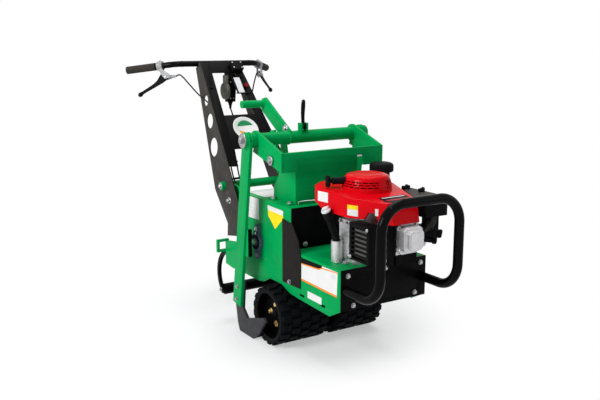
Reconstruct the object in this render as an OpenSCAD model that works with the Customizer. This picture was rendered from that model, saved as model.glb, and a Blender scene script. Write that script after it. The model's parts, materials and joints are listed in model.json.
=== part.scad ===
// Walk-behind sod cutter: chassis, engine, drive wheels, lift frame, swinging blade and tilting handle.
// Millimetres. Front of the machine faces -Y, Z is up, the ground is Z = 0.

/* [Chassis] */
// Outside width over the two chassis side plates
body_w = 350; // [330:1:370]
// Length from the front panel to the rear wall
body_l = 650; // [630:1:670]
// Height of the gear case top above the ground
body_h = 512; // [500:1:530]
// Thickness of the folded chassis sheet
sheet_t = 4; // [3:0.5:5]
// Thickness of the welded bracket plates
bracket_t = 8; // [6:0.5:10]
// Outside diameter of the front guard tube
guard_d = 32; // [26:1:36]

/* [Drive wheels] */
// Diameter of a drive wheel over its lugs
wheel_d = 214; // [206:1:218]
// Gap between the two drive wheels at the middle of the axle
wheel_gap = 44; // [42:1:48]
// Depth of the tyre lugs
lug_h = 9; // [7:0.5:11]
// Number of lugs in one row round the tyre
lug_count = 18; // [14:1:22]
// Number of lug rows across one tyre
lug_rows = 5; // [3:1:6]
// Diameter of the drive axle
axle_d = 25; // [22:1:28]

/* [Blade] */
// Gap between a chassis side plate and the side knife beside it
side_gap = 53; // [50:1:65]
// Thickness of a side knife
knife_t = 10; // [8:0.5:12]
// Thickness of the level cutting blade
blade_t = 8; // [6:0.5:10]
// Width of a blade arm
arm_w = 58; // [52:1:62]
// Thickness of a blade arm
arm_t = 12; // [10:0.5:14]

/* [Lift frame] */
// Thickness of the lift frame side bars
lift_t = 10; // [8:0.5:11]
// Outside diameter of the lift frame rear tube
lift_tube_d = 46; // [42:1:48]
// Diameter of the pins at the top of the blade arms
pin_d = 20; // [18:1:22]
// Diameter of the lift frame pivot shaft
shaft_d = 20; // [18:1:24]

/* [Handle] */
// Lean of the handle back from the vertical, degrees
handle_lean = 39.7; // [36:0.1:42]
// Length of the handle face plates
handle_l = 600; // [580:1:620]
// Thickness of the handle plates
handle_t = 4; // [3:0.5:6]
// Width over the ends of the handlebar
bar_w = 716; // [660:1:760]
// Diameter of the handlebar tube
bar_d = 25; // [22:0.5:28]
// Sweep of the handlebar ends, degrees
bar_sweep = 47; // [42:1:52]

/* [Engine] */
// Width of the engine shroud
engine_w = 280; // [270:1:290]
// Diameter of the starter dome
dome_d = 166; // [156:1:176]

/* [Fits] */
// Radial clearance of a turning or sliding fit
run_gap = 0.05; // [0.02:0.01:0.1]
// Clearance between pieces that pass each other
pass_gap = 1; // [0.6:0.1:1.5]

/* [Hidden] */
// Smoothness of true curves
fine = 96;
// Overrun of a cut past the face it opens
over = sheet_t;
// Half widths of the chassis
half_w = body_w / 2;
in_w = half_w - sheet_t;
// Width of the cut strip between the two side knives
cut_w = body_w + 2 * side_gap;
// Heights and stations of the chassis, the drive axle is at Y = 0
axle_z = wheel_d / 2;
deck_z = 0.7129 * body_h;
case_z = body_h;
front_y = -0.5923 * body_l;
step_y = -0.1385 * body_l;
rear_y = 0.4077 * body_l;
nose_z = 0.4453 * body_h;
chin_z = 0.3828 * body_h;
chin_y = -0.4985 * body_l;
waist_y = -0.2154 * body_l;
waist_z = 0.3965 * body_h;
arch_front_y = -0.1292 * body_l;
arch_rear_y = 0.1538 * body_l;
arch_z = wheel_d + 0.0561 * wheel_d;
tail_y = 0.2154 * body_l;
tail_z = 0.3828 * body_h;
side_points = [
    [front_y, deck_z], [front_y, nose_z], [chin_y, chin_z], [waist_y, waist_z],
    [arch_front_y, waist_z + sheet_t],
    [-0.04 * body_l, arch_z], [0.0862 * body_l, arch_z], [arch_rear_y, waist_z], [tail_y, tail_z],
    [rear_y, tail_z],
    [rear_y, case_z], [step_y, case_z], [step_y, deck_z]
];
// Slots in the side plates
slot_l = 0.0462 * body_l;
slot_h = 0.0176 * body_h;
slot_z = 0.4297 * body_h;
slot_front_y = -0.4385 * body_l;
slot_rear_y = -0.2462 * body_l;
// Crank shaft that drives the blade arms
crank_y = 0.2062 * body_l;
crank_z = 0.6797 * body_h;
crank_r = 0.0244 * body_h;
throw = 0.0078 * body_h;
roller_r = 0.0312 * body_h;
crank_hole_r = 0.0391 * body_h;
// Bearing flanges
flange_r = 0.0645 * body_h;
flange_ear_r = 0.0332 * body_h;
flange_t = 0.0429 * body_w;
flange_step = 0.0143 * body_w;
flange_pitch = 0.0957 * body_h;
// Fasteners
bolt_r = 0.0114 * body_w;
washer_r = 0.0243 * body_w;
washer_t = 0.0057 * body_w;
head_r = 0.0186 * body_w;
head_h = 0.0143 * body_w;
// Engine stands clear of the case front, and the guard clear of the engine
cover_front = 0.8714 * engine_w;
guard_room = 0.1107 * engine_w;
tank_y1 = 0.65 * engine_w;
tank_room = 0.0321 * engine_w;
engine_y = step_y - sheet_t - tank_room - tank_y1;
// Front guard tube, on rounded stations so that its bends meet its straight runs
function tidy(v) = round(v * 100) / 100;
guard_r = guard_d / 2;
guard_half = tidy(0.4457 * body_w);
guard_y = tidy(engine_y - cover_front - guard_room);
guard_low_z = tidy(0.5781 * body_h);
guard_top_z = tidy(1.1719 * body_h);
guard_bend = tidy(0.1641 * body_h);
// Side guards
shield_points = [
    [-0.0585 * body_l, 0.4688 * body_h], [-0.2369 * body_l, 0.4746 * body_h],
    [-0.24 * body_l, 0.6992 * body_h], [-0.2169 * body_l, 0.7969 * body_h],
    [-0.1538 * body_l, 0.8984 * body_h], [-0.0585 * body_l, 0.9141 * body_h]
];
// Tower
tower_half = 0.3771 * body_w;
tower_front_y = -0.08 * body_l;
tower_top_y = 0.0062 * body_l;
tower_knee_z = 1.0859 * body_h;
tower_foot_y = 0.1477 * body_l;
tower_z = 1.3477 * body_h;
quad_inner_x = -0.1771 * body_w;
quad_outer_x = -0.2971 * body_w;
quad_t = bracket_t;
quad_points = [
    [0.0308 * body_l, 1.1523 * body_h], [0.1846 * body_l, 1.1719 * body_h],
    [0.2538 * body_l, 1.3281 * body_h], [0.2554 * body_l, 1.4688 * body_h],
    [0.2123 * body_l, 1.4766 * body_h], [0.1938 * body_l, 1.3477 * body_h],
    [0.1815 * body_l, 1.293 * body_h], [0.0308 * body_l, 1.2793 * body_h]
];
// Lift frame
lift_y = -0.0431 * body_l;
lift_z = 1.3145 * body_h;
lift_r = shaft_d / 2;
top_y = 0.1308 * body_l;
top_z = 1.4297 * body_h;
pin_r = pin_d / 2;
arm_in = cut_w / 2 + knife_t;
arm_out = arm_in + arm_t;
lift_out = arm_in - 0.0504 * cut_w;
lift_in = lift_out - lift_t;
boss_r = 0.0508 * body_h;
boss_in = lift_out + pass_gap;
boss_out = arm_out + 0.0285 * cut_w;
lift_front_y = -0.1446 * body_l;
lift_low_z = 1.2461 * body_h;
lift_high_z = 1.375 * body_h;
lift_strip_z = 1.3203 * body_h;
tab_right = 0.1514 * body_w;
tab_left = 0.2171 * body_w;
lift_end_r = 0.0645 * body_h;
lift_drop = 0.0898 * body_h;
tube_r = lift_tube_d / 2;
// Depth lever on the rear tube
lever_x = -0.2229 * body_w;
lever_t = bracket_t;
lever_w = 0.1133 * body_h;
lever_end_y = 0.4031 * body_l;
lever_end_z = 1.6445 * body_h;
lever_tube_r = 0.0273 * body_h;
lever_tube_l = 0.2629 * body_w;
lever_pitch = atan2(lever_end_z - top_z, lever_end_y - top_y);
lever_run = norm([lever_end_y - top_y, lever_end_z - top_z]);
// Latch lever
latch_x = -0.0743 * body_w;
latch_t = 0.04 * body_w;
latch_y = 0.1169 * body_l;
latch_z = top_z + tube_r + 0.0312 * body_h;
latch_r = 0.0234 * body_h;
latch_h = 0.1875 * body_h;
latch_w = 0.0308 * body_l;
// Blade arms
foot_y = 0.2708 * body_l;
foot_z = 0.2109 * body_h;
arm_lean = atan2(foot_y - top_y, top_z - foot_z);
arm_run = norm([foot_y - top_y, top_z - foot_z]);
lug_points = [
    [0.1969 * body_l, 0.6875 * body_h], [0.3815 * body_l, 0.6562 * body_h],
    [0.3969 * body_l, 0.6211 * body_h], [0.3969 * body_l, 0.4805 * body_h],
    [0.3015 * body_l, 0.4688 * body_h], [0.2308 * body_l, 0.4922 * body_h]
];
yoke_gap = roller_r + 2 * throw + 0.0137 * body_h;
yoke_t = 0.0123 * body_l;
yoke_in = arm_in - 0.0263 * cut_w;
yoke_back = 0.0088 * cut_w;
yoke_low_z = 0.5977 * body_h;
yoke_high_z = 0.7969 * body_h;
// Blade
knife_points = [
    [0.2123 * body_l, 0.4004 * body_h], [0.2862 * body_l, 0.4004 * body_h],
    [0.3169 * body_l, 0.2031 * body_h], [0.2923 * body_l, 0.0508 * body_h], [0.2708 * body_l, 0],
    [0.1138 * body_l, 0], [0.0462 * body_l, 0.0703 * body_h],
    [-0.0246 * body_l, 0.1797 * body_h], [-0.0062 * body_l, 0.2012 * body_h],
    [0.1815 * body_l, 0.1289 * body_h], [0.2308 * body_l, 0.1875 * body_h]
];
blade_front_y = 0.1169 * body_l;
blade_rear_y = 0.2708 * body_l;
blade_edge_t = blade_t / 4;
blade_bevel = 0.0369 * body_l;
bolt_high_z = 0.3477 * body_h;
bolt_low_z = 0.25 * body_h;
// Tie tube behind the blade arms
tie_y = 0.4615 * body_l;
tie_z = 0.2539 * body_h;
tie_r = 0.041 * body_h;
strap_r = 0.1953 * body_h;
strap_w = 0.0273 * body_h;
loop_y = 0.3969 * body_l;
loop_t = 0.0185 * body_l;
loop_half = 0.0469 * body_h;
loop_bar = 0.0176 * body_h;
loop_z = 0.6172 * body_h;
// Drive wheels
wheel_half = cut_w / 2 - 0.0175 * cut_w;
hub_in = wheel_gap / 2;
tread_r = wheel_d / 2 - lug_h;
rim_r = tread_r - 0.0374 * wheel_d;
rim_t = 0.028 * wheel_d;
web_x = wheel_half - 0.1009 * cut_w;
web_t = 0.0175 * cut_w;
hub_r = 0.1402 * wheel_d;
axle_r = axle_d / 2;
lug_share = 0.52;
row_w = (wheel_half - hub_in) / lug_rows;
row_gap = row_w / 6;
hub_bolt_count = 4;
hub_bolt_ring = 0.1729 * wheel_d;
hanger_in = 0.0257 * body_w;
hanger_out = hub_in - 0.0114 * body_w;
hanger_half = 0.0523 * body_l;
hanger_low_z = axle_z - 0.1215 * wheel_d;
// Gear box and belt drive
shelf_z = 0.5664 * body_h;
shelf_t = sheet_t + sheet_t;
shelf_front_y = -0.0923 * body_l;
box_half = 0.1771 * body_w;
box_front_y = 0.1077 * body_l;
box_rear_y = 0.3154 * body_l;
box_top_z = 0.8555 * body_h;
belt_z = 0.5039 * body_h;
belt_h = 0.0273 * body_h;
belt_t = 0.0229 * body_w;
drive_pulley_r = 0.0971 * body_w;
input_y = 0.1969 * body_l;
input_pulley_r = 0.1486 * body_w;
pulley_flange = 0.0143 * body_w;
input_shaft_r = 0.0286 * body_w;
// Handle frame
handle_y = 0.6138 * body_l;
handle_z = 1.0273 * body_h;
handle_half = 0.3914 * body_w;
handle_taper = 4.8;
handle_points = [
    [0, 0], [0, 1.0067 * handle_l], [0.0833 * handle_l, 1.0067 * handle_l],
    [0.2767 * handle_l, 0.11 * handle_l], [0.2233 * handle_l, -0.1867 * handle_l],
    [0.2733 * handle_l, -0.2533 * handle_l], [0.1167 * handle_l, -0.34 * handle_l],
    [0, -0.2067 * handle_l]
];
hole_small = [0.0633 * handle_l, 0.7067 * handle_l, 0.0367 * handle_l];
hole_middle = [0.0867 * handle_l, 0.55 * handle_l, 0.0517 * handle_l];
hole_large = [0.1333 * handle_l, 0.3633 * handle_l, 0.065 * handle_l];
strip_w = 0.07 * handle_l;
strip_low_w = 0.12 * handle_l;
face_top_w = 0.9933 * handle_l;
top_low_w = 0.8933 * handle_l;
mid_top_w = 0.5267 * handle_l;
mid_low_w = 0.25 * handle_l;
tilt_y = 0.7354 * body_l;
tilt_z = 0.9766 * body_h;
tilt_r = 0.0332 * body_h;
tilt_half = handle_half + 0.0514 * body_w;
lock_y = 0.6462 * body_l;
lock_z = 0.8789 * body_h;
lock_run = norm([lock_y - tilt_y, lock_z - tilt_z]);
lock_dir = atan2(lock_z - tilt_z, lock_y - tilt_y);
lock_swing = 11;
bracket_x = handle_half - 0.0571 * body_w;
bracket_points = [
    [rear_y, 0.6445 * body_h], [0.5908 * body_l, 0.7891 * body_h],
    [0.6954 * body_l, 0.8594 * body_h], [0.7692 * body_l, 0.9492 * body_h],
    [0.76 * body_l, 1 * body_h], [0.7108 * body_l, 1.0156 * body_h],
    [rear_y, 0.9492 * body_h]
];
// Handlebar
bar_r = bar_d / 2;
bar_n = 0.0417 * handle_l;
bar_up = face_top_w + bar_r;
bar_y = handle_y + bar_up * sin(handle_lean) + bar_n * cos(handle_lean);
bar_z = handle_z + bar_up * cos(handle_lean) - bar_n * sin(handle_lean);
bar_tilt = 10;
bar_bend = 0.1167 * handle_l;
bar_side = 0.33 * handle_l;
bar_mid = bar_w / 2 - bar_side;
collar_r = bar_r + pass_gap / 2;
grip_r = bar_r + 0.0067 * handle_l;
grip_l = 0.225 * handle_l;
grip_end = 0.0083 * handle_l;
bend_x = bar_mid + bar_bend * sin(bar_sweep);
bend_y = bar_bend * (1 - cos(bar_sweep));
reach = (bar_w / 2 - bend_x - grip_r * sin(bar_sweep)) / cos(bar_sweep);
perch_at = reach - grip_l - 0.0567 * handle_l;
// Levers
perch_r = bar_r + 0.0117 * handle_l;
perch_w = 0.04 * handle_l;
lever_arm = 0.225 * handle_l;
lever_r = 0.0108 * handle_l;
lever_ball = 0.0167 * handle_l;
lever_gap = 0.0883 * handle_l;
lever_turn = 13;

// Middle of the machine between its front and rear ends
grip_tip_y = bar_y + (bend_y + reach * sin(bar_sweep) + grip_r * cos(bar_sweep)) * cos(bar_tilt);
mid_y = tidy((grip_tip_y + guard_y - guard_r) / 2);
// Engine
e_low = deck_z;
flange_er = 0.35 * engine_w;
flange_eh = 0.0429 * engine_w;
crankcase_r = 0.2643 * engine_w;

wall_x = -0.3571 * engine_w;
wall_front = -0.1571 * engine_w;
wall_rear = 0.0429 * engine_w;
wall_high = 0.5 * engine_w;
fin_half = 0.2071 * engine_w;
fin_count = 6;
cyl_front = 0.6714 * engine_w;
cyl_low = 0.1214 * engine_w;
cyl_high = 0.5 * engine_w;
cover_x = 0.0357 * engine_w;
cover_half = 0.1321 * engine_w;
cover_low = 0.2286 * engine_w;
cover_high = 0.5143 * engine_w;
cover_round = 0.0571 * engine_w;
shroud_top = 0.8714 * engine_w;
shroud_points = [
    [-0.3429 * engine_w, 0.4643 * engine_w], [0.3429 * engine_w, 0.4643 * engine_w],
    [0.4786 * engine_w, 0.3714 * engine_w], [0.4357 * engine_w, 0.0357 * engine_w],
    [0.1786 * engine_w, -0.7 * engine_w], [0.1643 * engine_w, -0.7643 * engine_w],
    [-0.1964 * engine_w, -0.7643 * engine_w],
    [-0.5 * engine_w, -0.2857 * engine_w], [-0.5 * engine_w, 0.3571 * engine_w]
];
shroud_side = [
    [0.4643 * engine_w, 0.6821 * engine_w], [0.4643 * engine_w, 0.8714 * engine_w],
    [-0.6857 * engine_w, 0.7821 * engine_w], [-0.7643 * engine_w, 0.5429 * engine_w],
    [-0.6071 * engine_w, 0.5429 * engine_w], [-0.5714 * engine_w, 0.6607 * engine_w],
    [-0.5 * engine_w, 0.6607 * engine_w], [-0.4643 * engine_w, 0.5821 * engine_w],
    [0.1786 * engine_w, 0.5821 * engine_w], [0.3929 * engine_w, 0.6821 * engine_w]
];
dome_r = dome_d / 2;
dome_low = 0.7821 * engine_w;
dome_h = 0.2214 * engine_w;
dome_top_share = 0.84;
dome_top_r = dome_r * dome_top_share;
muffler_x0 = -0.4714 * engine_w;
muffler_x1 = -0.3 * engine_w;
muffler_y0 = -0.6643 * engine_w;
muffler_y1 = -0.3 * engine_w;
muffler_low = 0.1071 * engine_w;
muffler_high = 0.5357 * engine_w;
slot_count = 7;
tank_x0 = 0.5143 * engine_w;
tank_x1 = 0.6786 * engine_w;
tank_y0 = 0.3214 * engine_w;
tank_low = 0.3929 * engine_w;
tank_high = 0.7143 * engine_w;
cap_x = 0.5821 * engine_w;
cap_y = 0.4643 * engine_w;
neck_r = 0.1071 * engine_w;
neck_h = 0.2393 * engine_w;
cap_r = 0.15 * engine_w;
cap_h = 0.1214 * engine_w;
cleaner_low = 0.5643 * engine_w;
cleaner_high = 0.7679 * engine_w;
cleaner_points = [
    [0.5643 * engine_w, 0.0429 * engine_w], [0.6643 * engine_w, 0.0429 * engine_w],
    [0.6643 * engine_w, -0.6429 * engine_w], [0.6071 * engine_w, -0.7286 * engine_w],
    [0.3 * engine_w, -0.7143 * engine_w], [0.2714 * engine_w, -0.5286 * engine_w]
];
knob_points = [[0.5857 * engine_w, -0.05 * engine_w], [0.6143 * engine_w, -0.2857 * engine_w]];
intake_x0 = 0.3929 * engine_w;
intake_x1 = 0.5286 * engine_w;
intake_y0 = -0.6786 * engine_w;
intake_y1 = -0.5357 * engine_w;
intake_low = 0.3071 * engine_w;
intake_high = 0.4571 * engine_w;
filler_x = -0.4214 * engine_w;
filler_y = 0.0071 * engine_w;
filler_z = 0.2464 * engine_w;
filler_r = 0.0393 * engine_w;
filler_tilt = 23;
filler_l = 0.3857 * engine_w;
stick_r = 0.0143 * engine_w;
stick_l = 0.3429 * engine_w;
stick_cap_r = 0.0571 * engine_w;
stick_cap_h = 0.0571 * engine_w;
grip_turn = 159;
starter_r = 0.0179 * engine_w;
starter_z = 0.9286 * engine_w;
starter_out = dome_r + 0.1786 * engine_w;
starter_half = 0.0607 * engine_w;
starter_bar_r = 0.0286 * engine_w;
// Remaining pieces
wall = 0.0143 * engine_w;
fin_step = 0.0214 * engine_w;
engine_shaft_r = 0.0446 * engine_w;
engine_bolt_ring = 0.3071 * engine_w;
engine_bolt_turns = [45, 135, 225, 315];
shroud_inner = [
    [-0.3357 * engine_w, 0.4464 * engine_w], [0.3357 * engine_w, 0.4464 * engine_w],
    [0.4607 * engine_w, 0.3607 * engine_w], [0.4179 * engine_w, 0.0357 * engine_w],
    [0.1607 * engine_w, -0.6929 * engine_w], [0.1536 * engine_w, -0.7429 * engine_w],
    [-0.1857 * engine_w, -0.7429 * engine_w],
    [-0.4821 * engine_w, -0.2786 * engine_w], [-0.4821 * engine_w, 0.3464 * engine_w]
];
shroud_side_in = [
    [0.4464 * engine_w, 0], [0.4464 * engine_w, 0.8536 * engine_w],
    [-0.6714 * engine_w, 0.7668 * engine_w], [-0.7429 * engine_w, 0.5429 * engine_w],
    [-0.7429 * engine_w, 0]
];
starter_in = dome_r / 2 + wall;
cap_ribs = 12;
roller_in = arm_in - 0.057 * cut_w;
roller_out = arm_in - yoke_back - washer_t - 2 * pass_gap;
lift_rise = atan2(top_z - (lift_low_z + lift_high_z) / 2, top_y - lift_front_y);
loop_x = arm_in + arm_t / 2 + 0.0329 * cut_w;
strap_y = 0.3492 * body_l;
strap_z = 0.3867 * body_h;
strap_from = -50;
strap_sweep = 119;
function arm_mid_y(z) = top_y + (top_z - z) * tan(arm_lean);
guard_bolts = [[-0.1354 * body_l, 0.4922 * body_h]];
panel_bolts = [
    [-0.4286 * body_w, 0.6738 * body_h], [0, 0.6797 * body_h], [0.4286 * body_w, 0.6738 * body_h],
    [-0.3657 * body_w, 0.4766 * body_h], [0.3657 * body_w, 0.4766 * body_h]
];
lock_x = handle_half + handle_t + 0.0286 * body_w;
stem_r = 0.01 * handle_l;
button_x = handle_t - strip_w / 2;
button_w = 0.7717 * handle_l;
button_h = 0.01 * handle_l;
button_r = 0.0167 * handle_l;
lever_hub = 0.02 * handle_l;
lever_hub_r = 0.0167 * handle_l;
lever_pin_r = 0.0067 * handle_l;
cheek_t = 0.0067 * handle_l;
pivot_x = perch_at - 0.0233 * handle_l;
web_in = 0.0217 * handle_l;
web_out = 0.04 * handle_l;
adjust_r = 0.0083 * handle_l;
adjust_l = 0.0367 * handle_l;
lever_drop = 28;
box_x = 0.0467 * handle_l;
box_w = 0.0633 * handle_l;
box_d = 0.0367 * handle_l;
switch_x = 0.0683 * handle_l;
switch_w = 0.0867 * handle_l;
switch_low_w = 0.8983 * handle_l;
switch_high_w = 0.9667 * handle_l;
hang_y = handle_y + top_low_w * sin(handle_lean);
hang_z = handle_z + top_low_w * cos(handle_lean);
hang_seat = 0.0667 * handle_l;
box_drop = 0.21 * handle_l;
box_points = [
    [0, 0], [hang_seat * sin(handle_lean), hang_seat * cos(handle_lean)], [0.0767 * handle_l,
        0.0267 * handle_l], [0.07 * handle_l, -box_drop],
    [0.0267 * handle_l, -box_drop], [0.005 * handle_l, -0.04 * handle_l]
];
throttle_pin_r = 0.0083 * handle_l;
throttle_x = 0.0217 * handle_l;
throttle_y = hang_y + 0.0367 * handle_l;
throttle_z = hang_z - 0.13 * handle_l;
throttle_r = 0.06 * handle_l;
throttle_l = 0.1133 * handle_l;
cable_r = 0.005 * handle_l;
cable_gap = pass_gap / 4;
function bar_point(x, z) = let (
    u = z * sin(lever_turn),
    v = z * cos(lever_turn),
    y = bend_y + x * sin(bar_sweep) + u * cos(bar_sweep),
    dy = bar_y - handle_y + y * cos(bar_tilt) + v * sin(bar_tilt),
    dz = bar_z - handle_z - y * sin(bar_tilt) + v * cos(bar_tilt))
    [
        bend_x + x * cos(bar_sweep) - u * sin(bar_sweep), dy * cos(handle_lean) - dz * sin(handle_lean),
        dy * sin(handle_lean) + dz * cos(handle_lean)
    ];
cable_x = pivot_x - web_out - adjust_l - cable_gap;
lever_route = [
    bar_point(cable_x, -lever_gap), bar_point(cable_x - adjust_l, -lever_gap),
    [0.26 * handle_l, 0.0567 * handle_l, 0.8433 * handle_l],
    [0.2167 * handle_l, 0.0633 * handle_l, 0.7633 * handle_l],
    [0.1733 * handle_l, 0.0667 * handle_l, 0.7067 * handle_l],
    [handle_half - 0.1286 * body_w, 0.0533 * handle_l, 0.6333 * handle_l],
    [handle_half - 0.1114 * body_w, 0.0433 * handle_l, 0.5 * handle_l],
    [handle_half - 0.1 * body_w, 0.04 * handle_l, 0.3333 * handle_l],
    [handle_half - 0.0943 * body_w, 0.05 * handle_l, 0.1833 * handle_l],
    [handle_half - 0.0914 * body_w, 0.0733 * handle_l, 0.0667 * handle_l],
    [handle_half - 0.0943 * body_w, 0.07 * handle_l, -0.04 * handle_l]
];
box_low_y = hang_y + 0.0483 * handle_l;
box_low_z = hang_z - box_drop;
function hang_point(y, z) = [
    box_x + box_w / 2, (y - handle_y) * cos(handle_lean) - (z - handle_z) * sin(handle_lean),
    (y - handle_y) * sin(handle_lean) + (z - handle_z) * cos(handle_lean)
];
throttle_route = [
    hang_point(box_low_y, box_low_z - cable_gap), hang_point(box_low_y, box_low_z - 0.0433 * handle_l),
    [0.05 * handle_l, 0.16 * handle_l, 0.62 * handle_l],
    [-0.01 * handle_l, 0.08 * handle_l, 0.5267 * handle_l],
    [-0.0567 * handle_l, 0.04 * handle_l, 0.45 * handle_l],
    [0.2143 * body_w - handle_half, 0.0333 * handle_l, 0.3333 * handle_l],
    [0.1771 * body_w - handle_half, 0.0467 * handle_l, 0.1833 * handle_l],
    [0.1686 * body_w - handle_half, 0.0733 * handle_l, 0.0667 * handle_l],
    [0.1714 * body_w - handle_half, 0.07 * handle_l, -0.04 * handle_l]
];

hub_bolt_share = 0.02;
// Node drawn, or all of them

// Helpers: round bars along each axis, flat plates in each plane, and a mirrored pair
module bar_x(r, x0, x1, y, z) {
    translate([x0, y, z]) rotate([0, 90, 0]) cylinder(r = r, h = x1 - x0, $fn = fine);
}

module bar_y(r, x, y0, y1, z) {
    translate([x, y0, z]) rotate([-90, 0, 0]) cylinder(r = r, h = y1 - y0, $fn = fine);
}

module bar_z(r, x, y, z0, z1) {
    translate([x, y, z0]) cylinder(r = r, h = z1 - z0, $fn = fine);
}

module block(x0, x1, y0, y1, z0, z1) {
    translate([x0, y0, z0]) cube([x1 - x0, y1 - y0, z1 - z0]);
}

module side(x0, x1) {
    translate([x0, 0, 0]) rotate([90, 0, 90]) linear_extrude(x1 - x0) children();
}

module front(y0, y1) {
    translate([0, y1, 0]) rotate([90, 0, 0]) linear_extrude(y1 - y0) children();
}

module flat(z0, z1) {
    translate([0, 0, z0]) linear_extrude(z1 - z0) children();
}

module pair() {
    children();
    mirror([1, 0, 0]) children();
}

module place() {
    translate([0, -mid_y, 0]) children();
}

module lean() {
    translate([0, handle_y, handle_z]) rotate([-handle_lean, 0, 0]) children();
}

module taper() {
    lean() translate([handle_half, 0, 0]) rotate([0, -handle_taper, 0]) children();
}

module bar_frame() {
    translate([0, bar_y, bar_z]) rotate([-bar_tilt, 0, 0]) children();
}

module bar_end() {
    bar_frame() translate([bend_x, bend_y, 0]) rotate([0, 0, bar_sweep]) children();
}

module lever_frame() {
    bar_end() rotate([-lever_turn, 0, 0]) children();
}

module engine() {
    translate([0, engine_y, e_low]) children();
}

// Bolt along +Z from its seat: washer and head above, shank below
module bolt(shank) {
    cylinder(r = washer_r, h = washer_t, $fn = fine);
    translate([0, 0, washer_t]) cylinder(r = head_r, h = head_h, $fn = 6);
    translate([0, 0, -shank]) cylinder(r = bolt_r, h = shank + washer_t, $fn = fine);
}

module bolt_out(x, y, z, shank) {
    translate([x, y, z]) rotate([0, 90, 0]) bolt(shank);
}

module hole_x(r, x, y, z) {
    bar_x(r, x - over, x + 2 * sheet_t + over, y, z);
}

// Chassis sheet metal
module side_plate() {
    color([0, 0.55, 0.27]) difference() {
        side(in_w, half_w) polygon(side_points);
        hole_x(crank_hole_r, in_w, crank_y, crank_z);
        for (dz = [-flange_pitch, flange_pitch]) hole_x(bolt_r + run_gap, in_w, crank_y, crank_z + dz);
        for (y = [slot_front_y, slot_rear_y]) {
            block(in_w - over, half_w + over, y - slot_l / 2, y + slot_l / 2, slot_z - slot_h / 2,
                slot_z + slot_h / 2);
        }
        for (p = guard_bolts) hole_x(bolt_r + run_gap, in_w, p[0], p[1]);
    }
}

module side_plate_left() {
    place() side_plate();
}

module side_plate_right() {
    place() mirror([1, 0, 0]) side_plate();
}

module deck_plate() {
    place() color([0, 0.55, 0.27]) difference() {
        block(-in_w, in_w, front_y, step_y, deck_z - sheet_t, deck_z);
        engine() bar_z(crankcase_r / 2, 0, 0, -sheet_t - over, over);
        for (a = engine_bolt_turns) engine() rotate(a) bar_z(bolt_r + run_gap, engine_bolt_ring, 0,
            -sheet_t - over, over);
    }
}

module front_panel() {
    place() color([0.06, 0.06, 0.07]) difference() {
        block(-half_w, half_w, front_y - sheet_t, front_y, nose_z, deck_z);
        for (p = panel_bolts) bar_y(bolt_r + run_gap, p[0], front_y - sheet_t - over, front_y + over, p[1]);
    }
}

module gear_case() {
    place() color([0, 0.55, 0.27]) union() {
        block(-in_w, in_w, step_y, rear_y, case_z - sheet_t, case_z);
        block(-in_w, in_w, rear_y - sheet_t, rear_y, tail_z, case_z);
    }
}

module case_front() {
    place() color([0.06, 0.06, 0.07]) block(-half_w, half_w, step_y - sheet_t, step_y, deck_z, case_z);
}

module gear_shelf() {
    place() color([0, 0.55, 0.27]) difference() {
        union() {
            block(-in_w, in_w, shelf_front_y, rear_y - sheet_t, shelf_z - shelf_t, shelf_z);
            pair() block(hanger_in, hanger_out, -hanger_half, hanger_half, hanger_low_z, shelf_z - shelf_t);
        }
        bar_x(axle_r + run_gap, -hub_in, hub_in, 0, axle_z);
        bar_z(input_shaft_r + pass_gap, 0, input_y, shelf_z - shelf_t - over, shelf_z + over);
    }
}

module side_guards() {
    place() color([0.07, 0.07, 0.08]) pair() difference() {
        side(half_w, half_w + sheet_t) polygon(shield_points);
        for (p = guard_bolts) hole_x(bolt_r + run_gap, half_w, p[0], p[1]);
    }
}

module guard_bend_form(r) {
    rotate_extrude(angle = 90, $fn = fine) translate([guard_bend, 0]) circle(r = r, $fn = fine);
}

// Guard hoop at one tube radius, its legs running past the panel by a given length
module guard_hoop(r, past) {
    leg_y = guard_y + guard_bend;
    corner_x = guard_half - guard_bend;
    bar_x(r, -corner_x, corner_x, guard_y, guard_top_z);
    pair() {
        bar_y(r, guard_half, leg_y, front_y - sheet_t + past, guard_low_z);
        bar_z(r, guard_half, guard_y, guard_low_z + guard_bend, guard_top_z - guard_bend);
        translate([guard_half, leg_y, guard_low_z + guard_bend]) rotate([90, 0,
            90]) rotate(180) guard_bend_form(r);
        translate([corner_x, guard_y, guard_top_z - guard_bend]) rotate([90, 0, 0]) guard_bend_form(r);
    }
}

module front_guard() {
    place() color([0.05, 0.05, 0.06]) difference() {
        guard_hoop(guard_r, 0);
        guard_hoop(guard_r - sheet_t, over);
    }
}

// Tower with the depth quadrant
module tower() {
    outer = [
        [tower_front_y, case_z], [tower_foot_y, case_z], [tower_foot_y, tower_knee_z],
        [tower_top_y, tower_z], [tower_front_y, tower_z]
    ];
    inner = [
        [tower_front_y + sheet_t, case_z - over], [tower_foot_y - sheet_t, case_z - over],
        [tower_foot_y - sheet_t, tower_knee_z],
        [tower_top_y - sheet_t, tower_z - sheet_t], [tower_front_y + sheet_t, tower_z - sheet_t]
    ];
    place() color([0, 0.5, 0.24]) difference() {
        union() {
            difference() {
                side(-tower_half, tower_half) polygon(outer);
                side(-tower_half + sheet_t, tower_half - sheet_t) polygon(inner);
            }
            for (x = [quad_outer_x, quad_inner_x]) difference() {
                side(x, x + quad_t) polygon(quad_points);
                side(x - over, x + quad_t + over) polygon(outer);
            }
        }
        bar_x(lift_r, -half_w, half_w, lift_y, lift_z);
    }
}

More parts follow.
